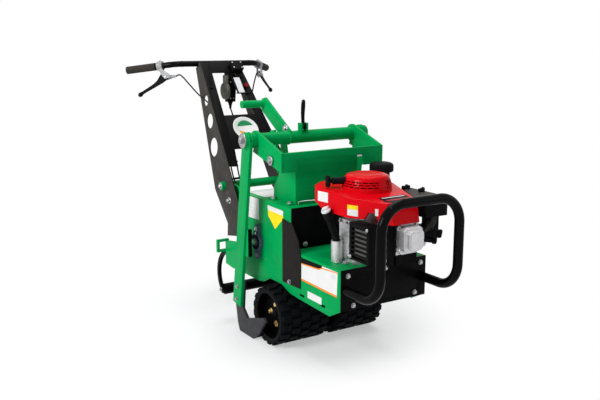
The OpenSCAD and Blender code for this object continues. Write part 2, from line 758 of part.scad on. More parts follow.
module lift_shaft() {
    place() color([0.72, 0.73, 0.75]) union() {
        bar_x(lift_r, -lift_out - sheet_t, lift_out + sheet_t, lift_y, lift_z);
        pair() {
            bar_x(lift_r + sheet_t, tower_half, lift_in - pass_gap, lift_y, lift_z);
            bar_x(lift_r + sheet_t, lift_out + pass_gap, lift_out + pass_gap + sheet_t, lift_y, lift_z);
        }
    }
}

module lock_slot() {
    slot_r = bolt_r + pass_gap;
    steps = 8;
    outer = [for (i = [0:steps]) let (a = lock_dir - lock_swing + 2 * lock_swing * i / steps)
        [tilt_y + (lock_run + slot_r) * cos(a), tilt_z + (lock_run + slot_r) * sin(a)]];
    inner = [for (i = [steps:-1:0]) let (a = lock_dir - lock_swing + 2 * lock_swing * i / steps)
        [tilt_y + (lock_run - slot_r) * cos(a), tilt_z + (lock_run - slot_r) * sin(a)]];
    polygon(concat(outer, inner));
}

module handle_tube() {
    place() color([0, 0.42, 0.2]) union() {
        bar_x(tilt_r, -tilt_half, tilt_half, tilt_y, tilt_z);
        pair() difference() {
            side(bracket_x, bracket_x + bracket_t) polygon(bracket_points);
            side(bracket_x - over, bracket_x + bracket_t + over) lock_slot();
        }
    }
}

module flange_bearings() {
    place() color([0.3, 0.38, 0.45]) pair() difference() {
        union() {
            bar_x(flange_r, half_w, half_w + flange_t, crank_y, crank_z);
            for (dz = [-flange_pitch, flange_pitch])
                bar_x(flange_ear_r, half_w, half_w + flange_t - flange_step, crank_y, crank_z + dz);
            block(half_w, half_w + flange_t - flange_step, crank_y - flange_ear_r, crank_y + flange_ear_r,
                crank_z - flange_pitch, crank_z + flange_pitch);
        }
        bar_x(crank_r + run_gap, half_w - over, half_w + flange_t + over, crank_y, crank_z);
        for (dz = [-flange_pitch, flange_pitch])
            bar_x(bolt_r + run_gap, half_w - over, half_w + flange_t + over, crank_y, crank_z + dz);
    }
}

module gearbox() {
    place() color([0.4, 0.42, 0.44]) difference() {
        block(-box_half, box_half, box_front_y, box_rear_y, shelf_z, box_top_z);
        bar_x(crank_r + run_gap, -box_half - over, box_half + over, crank_y, crank_z);
        bar_z(input_shaft_r + run_gap, 0, input_y, shelf_z - over, crank_z - crank_r - sheet_t);
    }
}

module chassis_bolts() {
    place() color([0.75, 0.75, 0.76]) union() {
        pair() {
            for (dz = [-flange_pitch, flange_pitch])
                bolt_out(half_w + flange_t - flange_step, crank_y, crank_z + dz, flange_t);
            for (p = guard_bolts) bolt_out(half_w + sheet_t, p[0], p[1], 2 * sheet_t);
        }
        for (p = panel_bolts) translate([p[0], front_y - sheet_t, p[1]]) rotate([90, 0, 0]) bolt(sheet_t);
        for (a = engine_bolt_turns) engine() rotate(a) translate([engine_bolt_ring, 0,
            flange_eh]) bolt(flange_eh + sheet_t);
    }
}

// Engine
module engine_block() {
    place() engine() color([0.72, 0.73, 0.74]) difference() {
        union() {
            bar_z(flange_er, 0, 0, 0, flange_eh);
            intersection() {
                bar_z(crankcase_r, 0, 0, flange_eh, shroud_top);
                side(-engine_w, engine_w) polygon(shroud_side_in);
            }
            block(wall_x, -crankcase_r / 2, wall_front, wall_rear, flange_eh, wall_high);
            bar_z(filler_r + 2 * wall, filler_x, filler_y, 0, filler_z);
            block(filler_x, -crankcase_r / 2, filler_y - filler_r, filler_y + filler_r, flange_eh,
                filler_z - 2 * wall);
            block(-fin_half + fin_step, fin_half - fin_step, -cyl_front, 0, cyl_low, cyl_high);
            for (i = [0:fin_count - 1]) {
                z = cyl_low + (cyl_high - cyl_low - fin_step) * i / (fin_count - 1);
                block(-fin_half, fin_half, -cyl_front + fin_step, -crankcase_r - fin_step, z, z + fin_step);
            }
        }
        bar_z(engine_shaft_r + run_gap, 0, 0, -over, shroud_top / 2);
        filler_axis() bar_z(filler_r, 0, 0, -filler_r, filler_l);
        for (a = engine_bolt_turns) rotate(a) bar_z(bolt_r + run_gap, engine_bolt_ring, 0, -over,
            flange_eh + over);
    }
}

module valve_cover() {
    place() engine() translate([cover_x, 0, 0]) color([0.8, 0.8, 0.8]) union() {
        front(-cover_front + cover_round, -cyl_front) rounded(cover_half, cover_low, cover_high,
            cover_round);
        front(-cover_front, -cover_front + cover_round)
            rounded(cover_half - cover_round / 2, cover_low + cover_round / 2,
                cover_high - cover_round / 2, cover_round);
    }
}

// Flat shape with round corners, centred on X
module rounded(half, low, high, r) {
    for (x = [-half + r, half - r]) for (z = [low + r, high - r]) translate([x, z]) circle(r = r,
        $fn = fine);
    translate([-half + r, low]) square([2 * half - 2 * r, high - low]);
    translate([-half, low + r]) square([2 * half, high - low - 2 * r]);
}

// Body of the shroud inside a plan and a side outline
module shroud_form(plan, profile) {
    intersection() {
        flat(0, shroud_top) polygon(plan);
        side(-engine_w, engine_w) polygon(profile);
    }
}

module shroud() {
    place() engine() color([0.85, 0.05, 0.08]) difference() {
        shroud_form(shroud_points, shroud_side);
        shroud_form(shroud_inner, shroud_side_in);
    }
}

module starter_dome() {
    place() engine() color([0.8, 0.04, 0.07]) difference() {
        union() {
            translate([0, 0, dome_low]) rotate_extrude($fn = fine) polygon([
                [0, dome_h - wall], [dome_top_r - wall, dome_h - wall], [dome_r - wall, 0], [dome_r, 0],
                [dome_r, dome_h / 3], [dome_top_r, dome_h], [0, dome_h]
            ]);
            rotate(grip_turn) bar_x(2 * starter_r, dome_top_r - wall, dome_r + 4 * starter_r, 0, starter_z);
        }
        rotate(grip_turn) bar_x(starter_r + run_gap, dome_r / 2, dome_r + 5 * starter_r, 0, starter_z);
        side(-engine_w, engine_w) polygon(shroud_side);
    }
}

module starter_grip() {
    place() engine() color([0.05, 0.05, 0.05]) rotate(grip_turn) union() {
        bar_x(starter_r, starter_in, starter_out, 0, starter_z);
        bar_z(starter_bar_r, starter_out, 0, starter_z - starter_half, starter_z + starter_half);
    }
}

module muffler() {
    slot_run = muffler_high - muffler_low - 4 * wall;
    place() engine() color([0.08, 0.08, 0.08]) difference() {
        union() {
            block(muffler_x0, muffler_x1, muffler_y0, muffler_y1, muffler_low, muffler_high);
            bar_x(wall + wall + wall, muffler_x1, -fin_half, (muffler_y0 + muffler_y1) / 2,
                (cyl_low + cyl_high) / 2);
        }
        block(muffler_x0 + wall, muffler_x1 - wall, muffler_y0 + wall, muffler_y1 - wall,
            muffler_low + wall, muffler_high - wall);
        for (i = [0:slot_count - 1]) {
            z = muffler_low + 2 * wall + slot_run * i / slot_count;
            block(muffler_x0 - over, muffler_x0 + 2 * wall, muffler_y0 + 3 * wall, muffler_y1 - 3 * wall,
                z, z + slot_run / slot_count / 2);
        }
    }
}

module fuel_tank() {
    place() engine() color([0.1, 0.1, 0.11]) union() {
        block(tank_x0, tank_x1, tank_y0, tank_y1, tank_low, tank_high);
        block(tank_x0, tank_x0 + 5 * wall, cap_y - 4 * wall, cap_y + 4 * wall, 0, tank_low);
        bar_z(neck_r, cap_x, cap_y, tank_high, tank_high + neck_h);
    }
}

module fuel_cap() {
    place() engine() color([0.06, 0.06, 0.06]) translate([cap_x, cap_y, tank_high + neck_h]) difference() {
        union() {
            bar_z(cap_r, 0, 0, -3 * wall, cap_h - 3 * wall);
            for (i = [0:cap_ribs - 1]) rotate(360 * i / cap_ribs)
                block(cap_r - wall, cap_r + wall / 4, -wall / 2, wall / 2, -2 * wall, cap_h - 4 * wall);
        }
        bar_z(neck_r + run_gap, 0, 0, -3 * wall - over, run_gap);
    }
}

module air_cleaner() {
    place() engine() color([0.12, 0.12, 0.12]) union() {
        flat(cleaner_low, cleaner_high) polygon(cleaner_points);
        for (p = knob_points) bar_z(2 * wall, p[0], p[1], cleaner_high, cleaner_high + 3 * wall);
        block(fin_half, intake_x1, intake_y0, intake_y1, intake_low, intake_high);
        block(intake_x0, intake_x1, intake_y0, intake_y1, intake_high, cleaner_low);
    }
}

module filler_axis() {
    translate([filler_x, filler_y, filler_z]) rotate([0, -filler_tilt, 0]) children();
}

module filler_tube() {
    place() engine() filler_axis() color([0.1, 0.1, 0.1]) difference() {
        bar_z(filler_r, 0, 0, -filler_r, filler_l);
        bar_z(stick_r + run_gap, 0, 0, filler_l - stick_l - wall, filler_l + over);
    }
}

module dipstick() {
    place() engine() filler_axis() color([0.85, 0.85, 0.82]) union() {
        bar_z(stick_r, 0, 0, filler_l - stick_l, filler_l + wall);
        bar_z(stick_cap_r, 0, 0, filler_l + pass_gap, filler_l + pass_gap + stick_cap_h);
    }
}

// Belt drive
module pulley(r, z0) {
    bar_z(r, 0, 0, z0, z0 + belt_h);
    bar_z(r + pulley_flange, 0, 0, z0 - pulley_flange, z0 - pass_gap);
    bar_z(r, 0, 0, z0 - pass_gap, z0);
    bar_z(r, 0, 0, z0 + belt_h, z0 + belt_h + pass_gap);
    bar_z(r + pulley_flange, 0, 0, z0 + belt_h + pass_gap, z0 + belt_h + pulley_flange);
}

module engine_shaft() {
    place() translate([0, engine_y, 0]) color([0.6, 0.61, 0.63]) union() {
        pulley(drive_pulley_r, belt_z);
        bar_z(engine_shaft_r, 0, 0, belt_z - pulley_flange, deck_z + shroud_top / 2 - wall);
    }
}

module input_pulley() {
    place() translate([0, input_y, 0]) color([0.6, 0.61, 0.63]) union() {
        pulley(input_pulley_r, belt_z);
        bar_z(input_shaft_r, 0, 0, belt_z, crank_z - crank_r - 2 * sheet_t);
    }
}

module belt_path(grow) {
    hull() {
        translate([0, engine_y]) circle(r = drive_pulley_r + grow, $fn = 48);
        translate([0, input_y]) circle(r = input_pulley_r + grow, $fn = 48);
    }
}

module drive_belt() {
    place() color([0.09, 0.09, 0.09]) difference() {
        flat(belt_z, belt_z + belt_h) belt_path(pass_gap + belt_t);
        flat(belt_z - over, belt_z + belt_h + over) belt_path(pass_gap);
    }
}

module crankshaft() {
    place() color([0.65, 0.66, 0.68]) union() {
        bar_x(crank_r, -roller_in, roller_in, crank_y, crank_z);
        pair() {
            bar_x(roller_r, roller_in, roller_out, crank_y + throw, crank_z);
            bar_x(head_r, roller_out, roller_out + washer_t, crank_y, crank_z);
        }
    }
}

// Drive wheels
module drive_axle() {
    place() color([0.55, 0.56, 0.58]) bar_x(axle_r, -web_x - web_t, web_x + web_t, 0, axle_z);
}

module wheel() {
    place() color([0.12, 0.12, 0.13]) difference() {
        union() {
            difference() {
                bar_x(rim_r, hub_in, wheel_half, 0, axle_z);
                bar_x(rim_r - rim_t, hub_in - over, wheel_half + over, 0, axle_z);
            }
            bar_x(rim_r - rim_t / 2, web_x, web_x + web_t, 0, axle_z);
            bar_x(hub_r, hub_in + pass_gap, web_x, 0, axle_z);
            for (i = [0:hub_bolt_count - 1]) {
                a = 360 * (i + hub_bolt_share) / hub_bolt_count;
                translate([web_x + web_t, hub_bolt_ring * cos(a),
                    axle_z + hub_bolt_ring * sin(a)]) rotate([0, 90, 0])
                    cylinder(r = head_r, h = head_h, $fn = 6);
            }
        }
        bar_x(axle_r + run_gap, hub_in - over, wheel_half, 0, axle_z);
    }
}

module wheel_left() {
    wheel();
}

module wheel_right() {
    mirror([1, 0, 0]) wheel();
}

// One row of lugs as a flat toothed ring
module lug_row(turn) {
    pitch = 360 / lug_count;
    half = pitch * lug_share / 2;
    tip = wheel_d / 2 / cos(half);
    root = tread_r - rim_t / 2;
    polygon([for (i = [0:lug_count - 1]) for (k = [0:3]) let (
        a = turn + pitch * i + (k == 0 || k == 1 ? -half : half) - 90,
        r = k == 0 || k == 3 ? root : tip)
        [r * cos(a), r * sin(a)]]);
}

module tyre() {
    place() color([0.05, 0.05, 0.06]) translate([0, 0, axle_z]) difference() {
        union() {
            bar_x(tread_r, hub_in, wheel_half, 0, 0);
            for (i = [0:lug_rows - 1]) side(hub_in + row_w * i + row_gap / 2,
                hub_in + row_w * (i + 1) - row_gap / 2)
                lug_row(i % 2 == 0 ? 0 : 180 / lug_count);
        }
        bar_x(rim_r, hub_in - over, wheel_half + over, 0, 0);
    }
}

module tyre_left() {
    tyre();
}

module tyre_right() {
    mirror([1, 0, 0]) tyre();
}

// Lift frame
module lift_bars() {
    place() color([0, 0.6, 0.29]) pair() difference() {
        side(lift_in, lift_out) union() {
            polygon([
                [lift_front_y, lift_low_z], [lift_front_y, lift_high_z],
                [top_y - lift_end_r * sin(lift_rise), top_z + lift_end_r * cos(lift_rise)],
                [top_y + lift_drop * sin(lift_rise), top_z - lift_drop * cos(lift_rise)]
            ]);
            translate([top_y, top_z]) circle(r = lift_end_r, $fn = fine);
        }
        bar_x(lift_r + run_gap, lift_in - over, lift_out + over, lift_y, lift_z);
        bar_x(pin_r + run_gap, lift_in - over, lift_out + over, top_y, top_z);
    }
}

module lift_front() {
    place() color([0, 0.52, 0.25]) front(lift_front_y, lift_front_y + lift_t) polygon([
        [-lift_in, lift_low_z], [-lift_in, lift_high_z], [lift_in, lift_high_z], [lift_in, lift_low_z],
        [lift_in - tab_left, lift_low_z], [lift_in - tab_left, lift_strip_z],
        [-lift_in + tab_right, lift_strip_z], [-lift_in + tab_right, lift_low_z]
    ]);
}

module lift_tube() {
    lug = latch_t / 2;
    place() color([0, 0.45, 0.22]) difference() {
        union() {
            bar_x(tube_r, -lift_in, lift_in, top_y, top_z);
            for (x = [latch_x - lug - pass_gap, latch_x + latch_t + pass_gap]) side(x,
                x + lug) difference() {
                translate([latch_y - latch_r, top_z]) square([2 * latch_r, latch_z - top_z + latch_r]);
                translate([top_y, top_z]) circle(r = tube_r - sheet_t / 2, $fn = fine);
            }
            bar_x(latch_r / 2, latch_x - lug, latch_x + latch_t + lug, latch_y, latch_z);
        }
        bar_x(pin_r + run_gap, -lift_in - over, lift_in + over, top_y, top_z);
    }
}

module depth_lever() {
    place() color([0, 0.6, 0.29]) union() {
        side(lever_x, lever_x + lever_t) translate([top_y, top_z]) difference() {
            rotate(lever_pitch) polygon([
                [0, -lever_w / 2], [lever_run, -lever_w / 2], [lever_run + lever_w / 3, -lever_w / 6],
                [lever_run + lever_w / 3, lever_w / 6], [lever_run, lever_w / 2], [0, lever_w / 2]
            ]);
            circle(r = tube_r, $fn = fine);
        }
        bar_x(lever_tube_r, lever_x - lever_tube_l, lever_x, lever_end_y, lever_end_z);
    }
}

module latch_lever() {
    place() color([0.05, 0.05, 0.06]) difference() {
        union() {
            bar_x(latch_r, latch_x, latch_x + latch_t, latch_y, latch_z);
            side(latch_x, latch_x + latch_t) polygon([
                [latch_y - latch_w / 3, latch_z], [latch_y + latch_w / 3, latch_z],
                [latch_y + latch_w / 2, latch_z + latch_h / 2], [latch_y + latch_w / 3, latch_z + latch_h],
                [latch_y - latch_w / 2, latch_z + latch_h], [latch_y - latch_w / 2, latch_z + latch_h / 2]
            ]);
        }
        bar_x(latch_r / 2 + run_gap, latch_x - over, latch_x + latch_t + over, latch_y, latch_z);
    }
}

module arm_pins() {
    place() color([0.78, 0.78, 0.79]) pair() union() {
        bar_x(pin_r, lift_in - pin_d, boss_out + pass_gap, top_y, top_z);
        bar_x(boss_r, boss_out + pass_gap, boss_out + pass_gap + washer_t, top_y, top_z);
        translate([boss_out + pass_gap + washer_t, top_y, top_z]) rotate([0, 90, 0])
            cylinder(r = pin_r, h = 2 * head_h, $fn = 6);
    }
}

// Blade arms with the yokes that the crank rollers push
module blade_arm() {
    place() color([0, 0.6, 0.29]) difference() {
        union() {
            bar_x(boss_r, boss_in, boss_out, top_y, top_z);
            side(arm_in, arm_out) union() {
                translate([top_y, top_z]) rotate(arm_lean) translate([-arm_w / 2,
                    -arm_run]) square([arm_w, arm_run]);
                polygon(lug_points);
            }
            block(arm_in - yoke_back, arm_in + yoke_back, crank_y - yoke_gap - yoke_t,
                crank_y + yoke_gap + yoke_t, yoke_low_z, yoke_high_z);
            for (y = [crank_y - yoke_gap - yoke_t, crank_y + yoke_gap])
                block(yoke_in, arm_in, y, y + yoke_t, yoke_low_z, yoke_high_z);
            difference() {
                block(loop_x - loop_half, loop_x + loop_half, loop_y, loop_y + loop_t,
                    loop_z - loop_half, loop_z + loop_half);
                block(loop_x - loop_half + loop_bar, loop_x + loop_half - loop_bar, loop_y - over,
                    loop_y + loop_t + over,
                    loop_z - loop_half + loop_bar, loop_z + loop_half - loop_bar);
            }
        }
        bar_x(pin_r + run_gap, boss_in - over, boss_out + over, top_y, top_z);
        for (z = [bolt_high_z, bolt_low_z]) bar_x(bolt_r + run_gap, arm_in - over, arm_out + over,
            arm_mid_y(z), z);
    }
}

module blade_arm_left() {
    blade_arm();
}

module blade_arm_right() {
    mirror([1, 0, 0]) blade_arm();
}

module side_knives() {
    place() color([0.27, 0.29, 0.32]) pair() difference() {
        side(cut_w / 2, arm_in) polygon(knife_points);
        for (z = [bolt_high_z, bolt_low_z]) bar_x(bolt_r + run_gap, cut_w / 2 - over,
            arm_in + over, arm_mid_y(z), z);
    }
}

module cutting_blade() {
    place() color([0.3, 0.32, 0.35]) side(-cut_w / 2, cut_w / 2) polygon([
        [blade_rear_y, 0], [blade_rear_y, blade_t], [blade_front_y + blade_bevel, blade_t],
        [blade_front_y, blade_edge_t], [blade_front_y, 0]
    ]);
}

module tie_tube() {
    place() color([0.07, 0.07, 0.08]) difference() {
        union() {
            bar_x(tie_r, -arm_in, arm_in, tie_y, tie_z);
            pair() difference() {
                translate([arm_in, strap_y, strap_z]) rotate([90, 0, 90]) rotate(strap_from)
                    rotate_extrude(angle = strap_sweep, $fn = fine)
                    translate([strap_r - strap_w / 2, 0]) square([strap_w, arm_t]);
                block(arm_in - over, arm_out + over, strap_y - strap_r, strap_y + 2 * strap_r,
                    loop_z - loop_half, loop_z + strap_r);
            }
        }
        pair() bar_x(bolt_r + run_gap, arm_in - 4 * bolt_r, arm_out + over, tie_y, tie_z);
    }
}

module blade_bolts() {
    place() color([0.75, 0.75, 0.76]) pair() {
        for (z = [bolt_high_z, bolt_low_z]) bolt_out(arm_out, arm_mid_y(z), z, arm_t + knife_t);
        bolt_out(arm_in + arm_t, tie_y, tie_z, arm_t + 3 * bolt_r);
    }
}

// Handle
function face_half(w) = handle_half + (handle_t - strip_w) / cos(handle_taper) - w * tan(handle_taper);

module handle_side() {
    place() color([0.08, 0.08, 0.08]) union() {
        difference() {
            taper() union() {
                side(0, handle_t) difference() {
                    polygon(handle_points);
                    for (h = [hole_small, hole_middle, hole_large]) translate([h[0],
                        h[1]]) circle(r = h[2], $fn = fine);
                }
                block(handle_t - strip_w, handle_t, -handle_t, 0, strip_low_w, face_top_w);
            }
            bar_x(tilt_r + run_gap, bracket_x, tilt_half + over, tilt_y, tilt_z);
            taper() bar_y(stem_r + run_gap, button_x, -handle_t - over, over, button_w);
            bar_frame() bar_x(bar_r, -bar_mid, bar_mid, 0, 0);
        }
        bar_x(bolt_r, bracket_x - sheet_t, lock_x, lock_y, lock_z);
        translate([lock_x, lock_y, lock_z]) rotate([0, 90, 0]) cylinder(r = head_r, h = head_h, $fn = 6);
    }
}

module handle_side_left() {
    handle_side();
}

module handle_side_right() {
    mirror([1, 0, 0]) handle_side();
}

module face_plate(low, high) {
    front(-handle_t, 0) polygon([
        [-face_half(low), low], [-face_half(high), high], [face_half(high), high], [face_half(low), low]
    ]);
}

module handle_top_plate() {
    place() lean() color([0.07, 0.07, 0.07]) face_plate(top_low_w, face_top_w);
}

module handle_mid_plate() {
    place() lean() color([0.07, 0.07, 0.07]) face_plate(mid_low_w, mid_top_w);
}

module handlebar() {
    place() bar_frame() color([0.06, 0.06, 0.06]) union() {
        bar_x(bar_r, -bar_mid, bar_mid, 0, 0);
        pair() {
            translate([bar_mid, bar_bend, 0]) rotate(-90) rotate_extrude(angle = bar_sweep, $fn = fine)
                translate([bar_bend, 0]) circle(r = bar_r, $fn = fine);
            bar_x(collar_r, bar_mid - grip_end, bar_mid + grip_end, 0, 0);
            translate([bend_x, bend_y, 0]) rotate(bar_sweep) {
                bar_x(bar_r, 0, reach - grip_end, 0, 0);
                bar_x(collar_r, -grip_end, grip_end, 0, 0);
            }
        }
    }
}

module grips() {
    place() color([0.04, 0.04, 0.04]) pair() bar_end() difference() {
        bar_x(grip_r, reach - grip_l, reach, 0, 0);
        bar_x(bar_r, reach - grip_l - over, reach - grip_end, 0, 0);
    }
}

module lever_perches() {
    cheek_in = lever_hub / 2 + pass_gap;
    cheek_out = cheek_in + cheek_t;
    cheek_z = -bar_r - cheek_t / 2;
    place() color([0.75, 0.76, 0.77]) pair() lever_frame() difference() {
        union() {
            bar_x(perch_r, perch_at, perch_at + perch_w, 0, 0);
            for (y = [-cheek_out, cheek_in]) front(y, y + cheek_t) polygon([
                [perch_at + cheek_t, cheek_z], [perch_at + perch_w - cheek_t, cheek_z],
                [pivot_x + lever_hub_r, -lever_gap], [pivot_x, -lever_gap - lever_hub_r],
                [pivot_x - web_out, -lever_gap - lever_hub_r / 2], [pivot_x - web_out,
                    -lever_gap + lever_hub_r / 2]
            ]);
            bar_y(lever_pin_r, pivot_x, -cheek_out, cheek_out, -lever_gap);
            block(pivot_x - web_out, pivot_x - web_in, -cheek_out, cheek_out,
                -lever_gap - lever_hub_r / 2, -lever_gap + lever_hub_r / 2);
            bar_x(adjust_r, pivot_x - web_out - adjust_l, pivot_x - web_in, 0, -lever_gap);
        }
        bar_x(bar_r, perch_at - over, perch_at + perch_w + over, 0, 0);
    }
}

module hand_lever() {
    place() lever_frame() translate([pivot_x, 0, -lever_gap]) rotate([0, lever_drop, 0])
        color([0.07, 0.07, 0.07]) difference() {
        union() {
            bar_x(lever_r, 0, lever_arm, 0, 0);
            translate([lever_arm, 0, 0]) sphere(r = lever_ball, $fn = fine);
            bar_y(lever_hub_r, 0, -lever_hub / 2, lever_hub / 2, 0);
        }
        bar_y(lever_pin_r + run_gap, 0, -lever_hub, lever_hub, 0);
    }
}

module hand_lever_left() {
    hand_lever();
}

module hand_lever_right() {
    mirror([1, 0, 0]) hand_lever();
}

module control_box() {
    place() color([0.1, 0.1, 0.11]) {
        lean() block(switch_x, switch_x + switch_w, -handle_t - box_d, -handle_t, switch_low_w,
            switch_high_w);
        translate([0, hang_y, hang_z]) side(box_x, box_x + box_w) polygon(box_points);
        bar_x(throttle_pin_r, throttle_x - pass_gap, box_x + pass_gap, throttle_y, throttle_z);
    }
}

module throttle_lever() {
    place() translate([0, throttle_y, throttle_z]) color([0.55, 0.54, 0.5]) difference() {
        union() {
            bar_x(throttle_r, throttle_x, box_x - pass_gap, 0, 0);
            block(throttle_x, box_x - pass_gap, -throttle_r / 2, throttle_r / 4, 0, throttle_l);
        }
        bar_x(throttle_pin_r + run_gap, throttle_x - over, box_x, 0, 0);
    }
}

module stop_button() {
    place() taper() color([0.75, 0.08, 0.08]) union() {
        bar_y(stem_r, button_x, -handle_t - button_h, handle_t, button_w);
        bar_y(button_r, button_x, -handle_t - 2 * button_h, -handle_t - button_h, button_w);
    }
}

// Cable swept along a smooth route
function curve(p, i, t) = let (
    a = p[max(i - 1, 0)], b = p[i], c = p[i + 1], d = p[min(i + 2, len(p) - 1)])
    (2 * b + (c - a) * t + (2 * a - 5 * b + 4 * c - d) * t * t + (3 * b - a - 3 * c + d) * t * t * t) / 2;

function unit(v) = v / norm(v);

module cable(route) {
    steps = 5;
    path = [for (i = [0:len(route) - 2]) for (s = [0:steps - 1]) curve(route, i, s / steps),
        route[len(route) - 1]];
    n = len(path);
    sides = 8;
    rings = [for (i = [0:n - 1]) let (
        t = unit(path[min(i + 1, n - 1)] - path[max(i - 1, 0)]),
        u = unit(cross(t, [0, 1, 0])),
        v = cross(t, u))
        [for (k = [0:sides - 1]) path[i] + cable_r * (u * cos(360 * k / sides) + v * sin(360 * k / sides))]];
    faces = concat(
        [[for (k = [0:sides - 1]) sides - 1 - k]],
        [for (i = [0:n - 2]) for (k = [0:sides - 1])
            [i * sides + k, i * sides + (k + 1) % sides, (i + 1) * sides + (k + 1) % sides,
                (i + 1) * sides + k]],
        [[for (k = [0:sides - 1]) (n - 1) * sides + k]]
    );
    polyhedron(points = [for (r = rings) for (p = r) p], faces = faces);
}

module control_cables() {
    place() lean() color([0.04, 0.04, 0.04]) {
        pair() cable(lever_route);
        cable(throttle_route);
    }
}

side_plate_right();
side_plate_left();
deck_plate();
front_panel();
gear_case();
case_front();
gear_shelf();
side_guards();
front_guard();
tower();
lift_shaft();
handle_tube();
flange_bearings();
gearbox();
chassis_bolts();
engine_block();
valve_cover();
shroud();
starter_dome();
muffler();
fuel_tank();
fuel_cap();
air_cleaner();
filler_tube();
dipstick();
starter_grip();
engine_shaft();
drive_belt();
input_pulley();
crankshaft();
drive_axle();
wheel_right();
wheel_left();
tyre_right();
tyre_left();
lift_bars();
lift_front();
lift_tube();
depth_lever();
latch_lever();
arm_pins();
blade_arm_right();
blade_arm_left();
side_knives();
cutting_blade();
tie_tube();
blade_bolts();
handle_side_right();
handle_side_left();
handle_top_plate();
handle_mid_plate();
handlebar();
grips();
lever_perches();
hand_lever_right();
hand_lever_left();
control_box();
throttle_lever();
stop_button();
control_cables();
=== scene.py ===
import json
import math

import bmesh
import bpy
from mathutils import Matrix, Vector

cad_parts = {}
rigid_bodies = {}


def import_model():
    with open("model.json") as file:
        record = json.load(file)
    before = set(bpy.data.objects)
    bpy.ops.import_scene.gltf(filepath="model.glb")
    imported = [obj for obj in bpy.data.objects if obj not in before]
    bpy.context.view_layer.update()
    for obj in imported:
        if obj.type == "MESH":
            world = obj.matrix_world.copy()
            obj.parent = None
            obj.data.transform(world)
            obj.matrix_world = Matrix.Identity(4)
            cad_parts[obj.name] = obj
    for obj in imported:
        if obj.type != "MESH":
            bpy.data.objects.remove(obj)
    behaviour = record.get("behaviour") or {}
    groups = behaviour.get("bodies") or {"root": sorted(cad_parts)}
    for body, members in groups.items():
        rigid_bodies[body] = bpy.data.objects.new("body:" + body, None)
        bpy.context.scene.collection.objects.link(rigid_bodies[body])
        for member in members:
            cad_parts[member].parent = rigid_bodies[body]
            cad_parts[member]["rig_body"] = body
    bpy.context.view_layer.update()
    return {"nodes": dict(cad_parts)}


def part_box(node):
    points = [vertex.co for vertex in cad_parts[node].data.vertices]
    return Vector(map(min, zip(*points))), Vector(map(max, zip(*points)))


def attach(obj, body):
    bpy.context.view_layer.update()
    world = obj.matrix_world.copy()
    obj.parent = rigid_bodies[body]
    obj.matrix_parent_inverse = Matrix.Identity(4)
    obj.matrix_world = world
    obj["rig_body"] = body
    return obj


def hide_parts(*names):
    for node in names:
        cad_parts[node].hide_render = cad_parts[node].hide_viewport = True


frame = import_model()
nodes = frame["nodes"]
scene = bpy.context.scene

# Lengths below are millimetres in the drive axle's own frame: X to the operator's left, Y to the rear, Z up.
MM = 0.001
axle_low, axle_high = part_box("drive_axle")
AXLE_Y = (axle_low.y + axle_high.y) / 2
LEAN = math.radians(39.7)
HANDLE = (0, 399, 526)
ENGINE = (0, -285, 365)

# Centres of shafts, tubes and hanging parts across the machine, as Y and Z
WHEEL = (0, 107)
CRANK = (134, 348)
LIFT_PIVOT = (-28, 673)
ARM_PIN = (85, 732)
LEVER_GRIP = (262, 842)
TILT_TUBE = (478, 500)
LOCK = (420, 450)
LATCH = (76, 771)
HANG = (741.337, 938.36)
THROTTLE = (763.36, 860.36)


def at(x, y, z):
    """Point of the machine in the shared frame."""
    return Vector((x * MM, y * MM + AXLE_Y, z * MM))


def on_handle(x, n, w):
    """Point given across the handle, behind its face, and up its slope."""
    c, s = math.cos(LEAN), math.sin(LEAN)
    return at(x, HANDLE[1] + n * c + w * s, HANDLE[2] - n * s + w * c)


def on_engine(x, y, z):
    """Point given from the engine's crank line at the deck."""
    return at(ENGINE[0] + x, ENGINE[1] + y, ENGINE[2] + z)


# Materials

def shader(name, colour, rough, metal=0.0, coat=0.0, vary=0.12, scale=40.0, bump=0.05, bump_scale=400.0,
           rough_vary=0.08, specular=0.03):
    """Principled material with noise in its colour, roughness and surface."""
    m = bpy.data.materials.new(name)
    m.use_nodes = True
    tree = m.node_tree
    body = tree.nodes["Principled BSDF"]
    body.inputs["Metallic"].default_value = metal
    body.inputs["Coat Weight"].default_value = coat
    body.inputs["Coat Roughness"].default_value = 0.08
    body.inputs["Specular IOR Level"].default_value = specular
    place = tree.nodes.new("ShaderNodeTexCoord")
    noise = tree.nodes.new("ShaderNodeTexNoise")
    noise.inputs["Scale"].default_value = scale
    noise.inputs["Detail"].default_value = 5.0
    tree.links.new(place.outputs["Object"], noise.inputs["Vector"])
    ramp = tree.nodes.new("ShaderNodeValToRGB")
    dark = [c * (1 - vary) for c in colour]
    light = [min(1.0, c * (1 + vary)) for c in colour]
    ramp.color_ramp.elements[0].position = 0.3
    ramp.color_ramp.elements[1].position = 0.7
    ramp.color_ramp.elements[0].color = (*dark, 1)
    ramp.color_ramp.elements[1].color = (*light, 1)
    tree.links.new(noise.outputs["Fac"], ramp.inputs["Fac"])
    tree.links.new(ramp.outputs["Color"], body.inputs["Base Color"])
    spread = tree.nodes.new("ShaderNodeMapRange")
    spread.inputs["To Min"].default_value = max(0.02, rough - rough_vary)
    spread.inputs["To Max"].default_value = min(1.0, rough + rough_vary)
    tree.links.new(noise.outputs["Fac"], spread.inputs["Value"])
    tree.links.new(spread.outputs["Result"], body.inputs["Roughness"])
    fine = tree.nodes.new("ShaderNodeTexNoise")
    fine.inputs["Scale"].default_value = bump_scale
    fine.inputs["Detail"].default_value = 3.0
    tree.links.new(place.outputs["Object"], fine.inputs["Vector"])
    relief = tree.nodes.new("ShaderNodeBump")
    relief.inputs["Strength"].default_value = bump
    relief.inputs["Distance"].default_value = 0.001
    tree.links.new(fine.outputs["Fac"], relief.inputs["Height"])
    tree.links.new(relief.outputs["Normal"], body.inputs["Normal"])
    return m


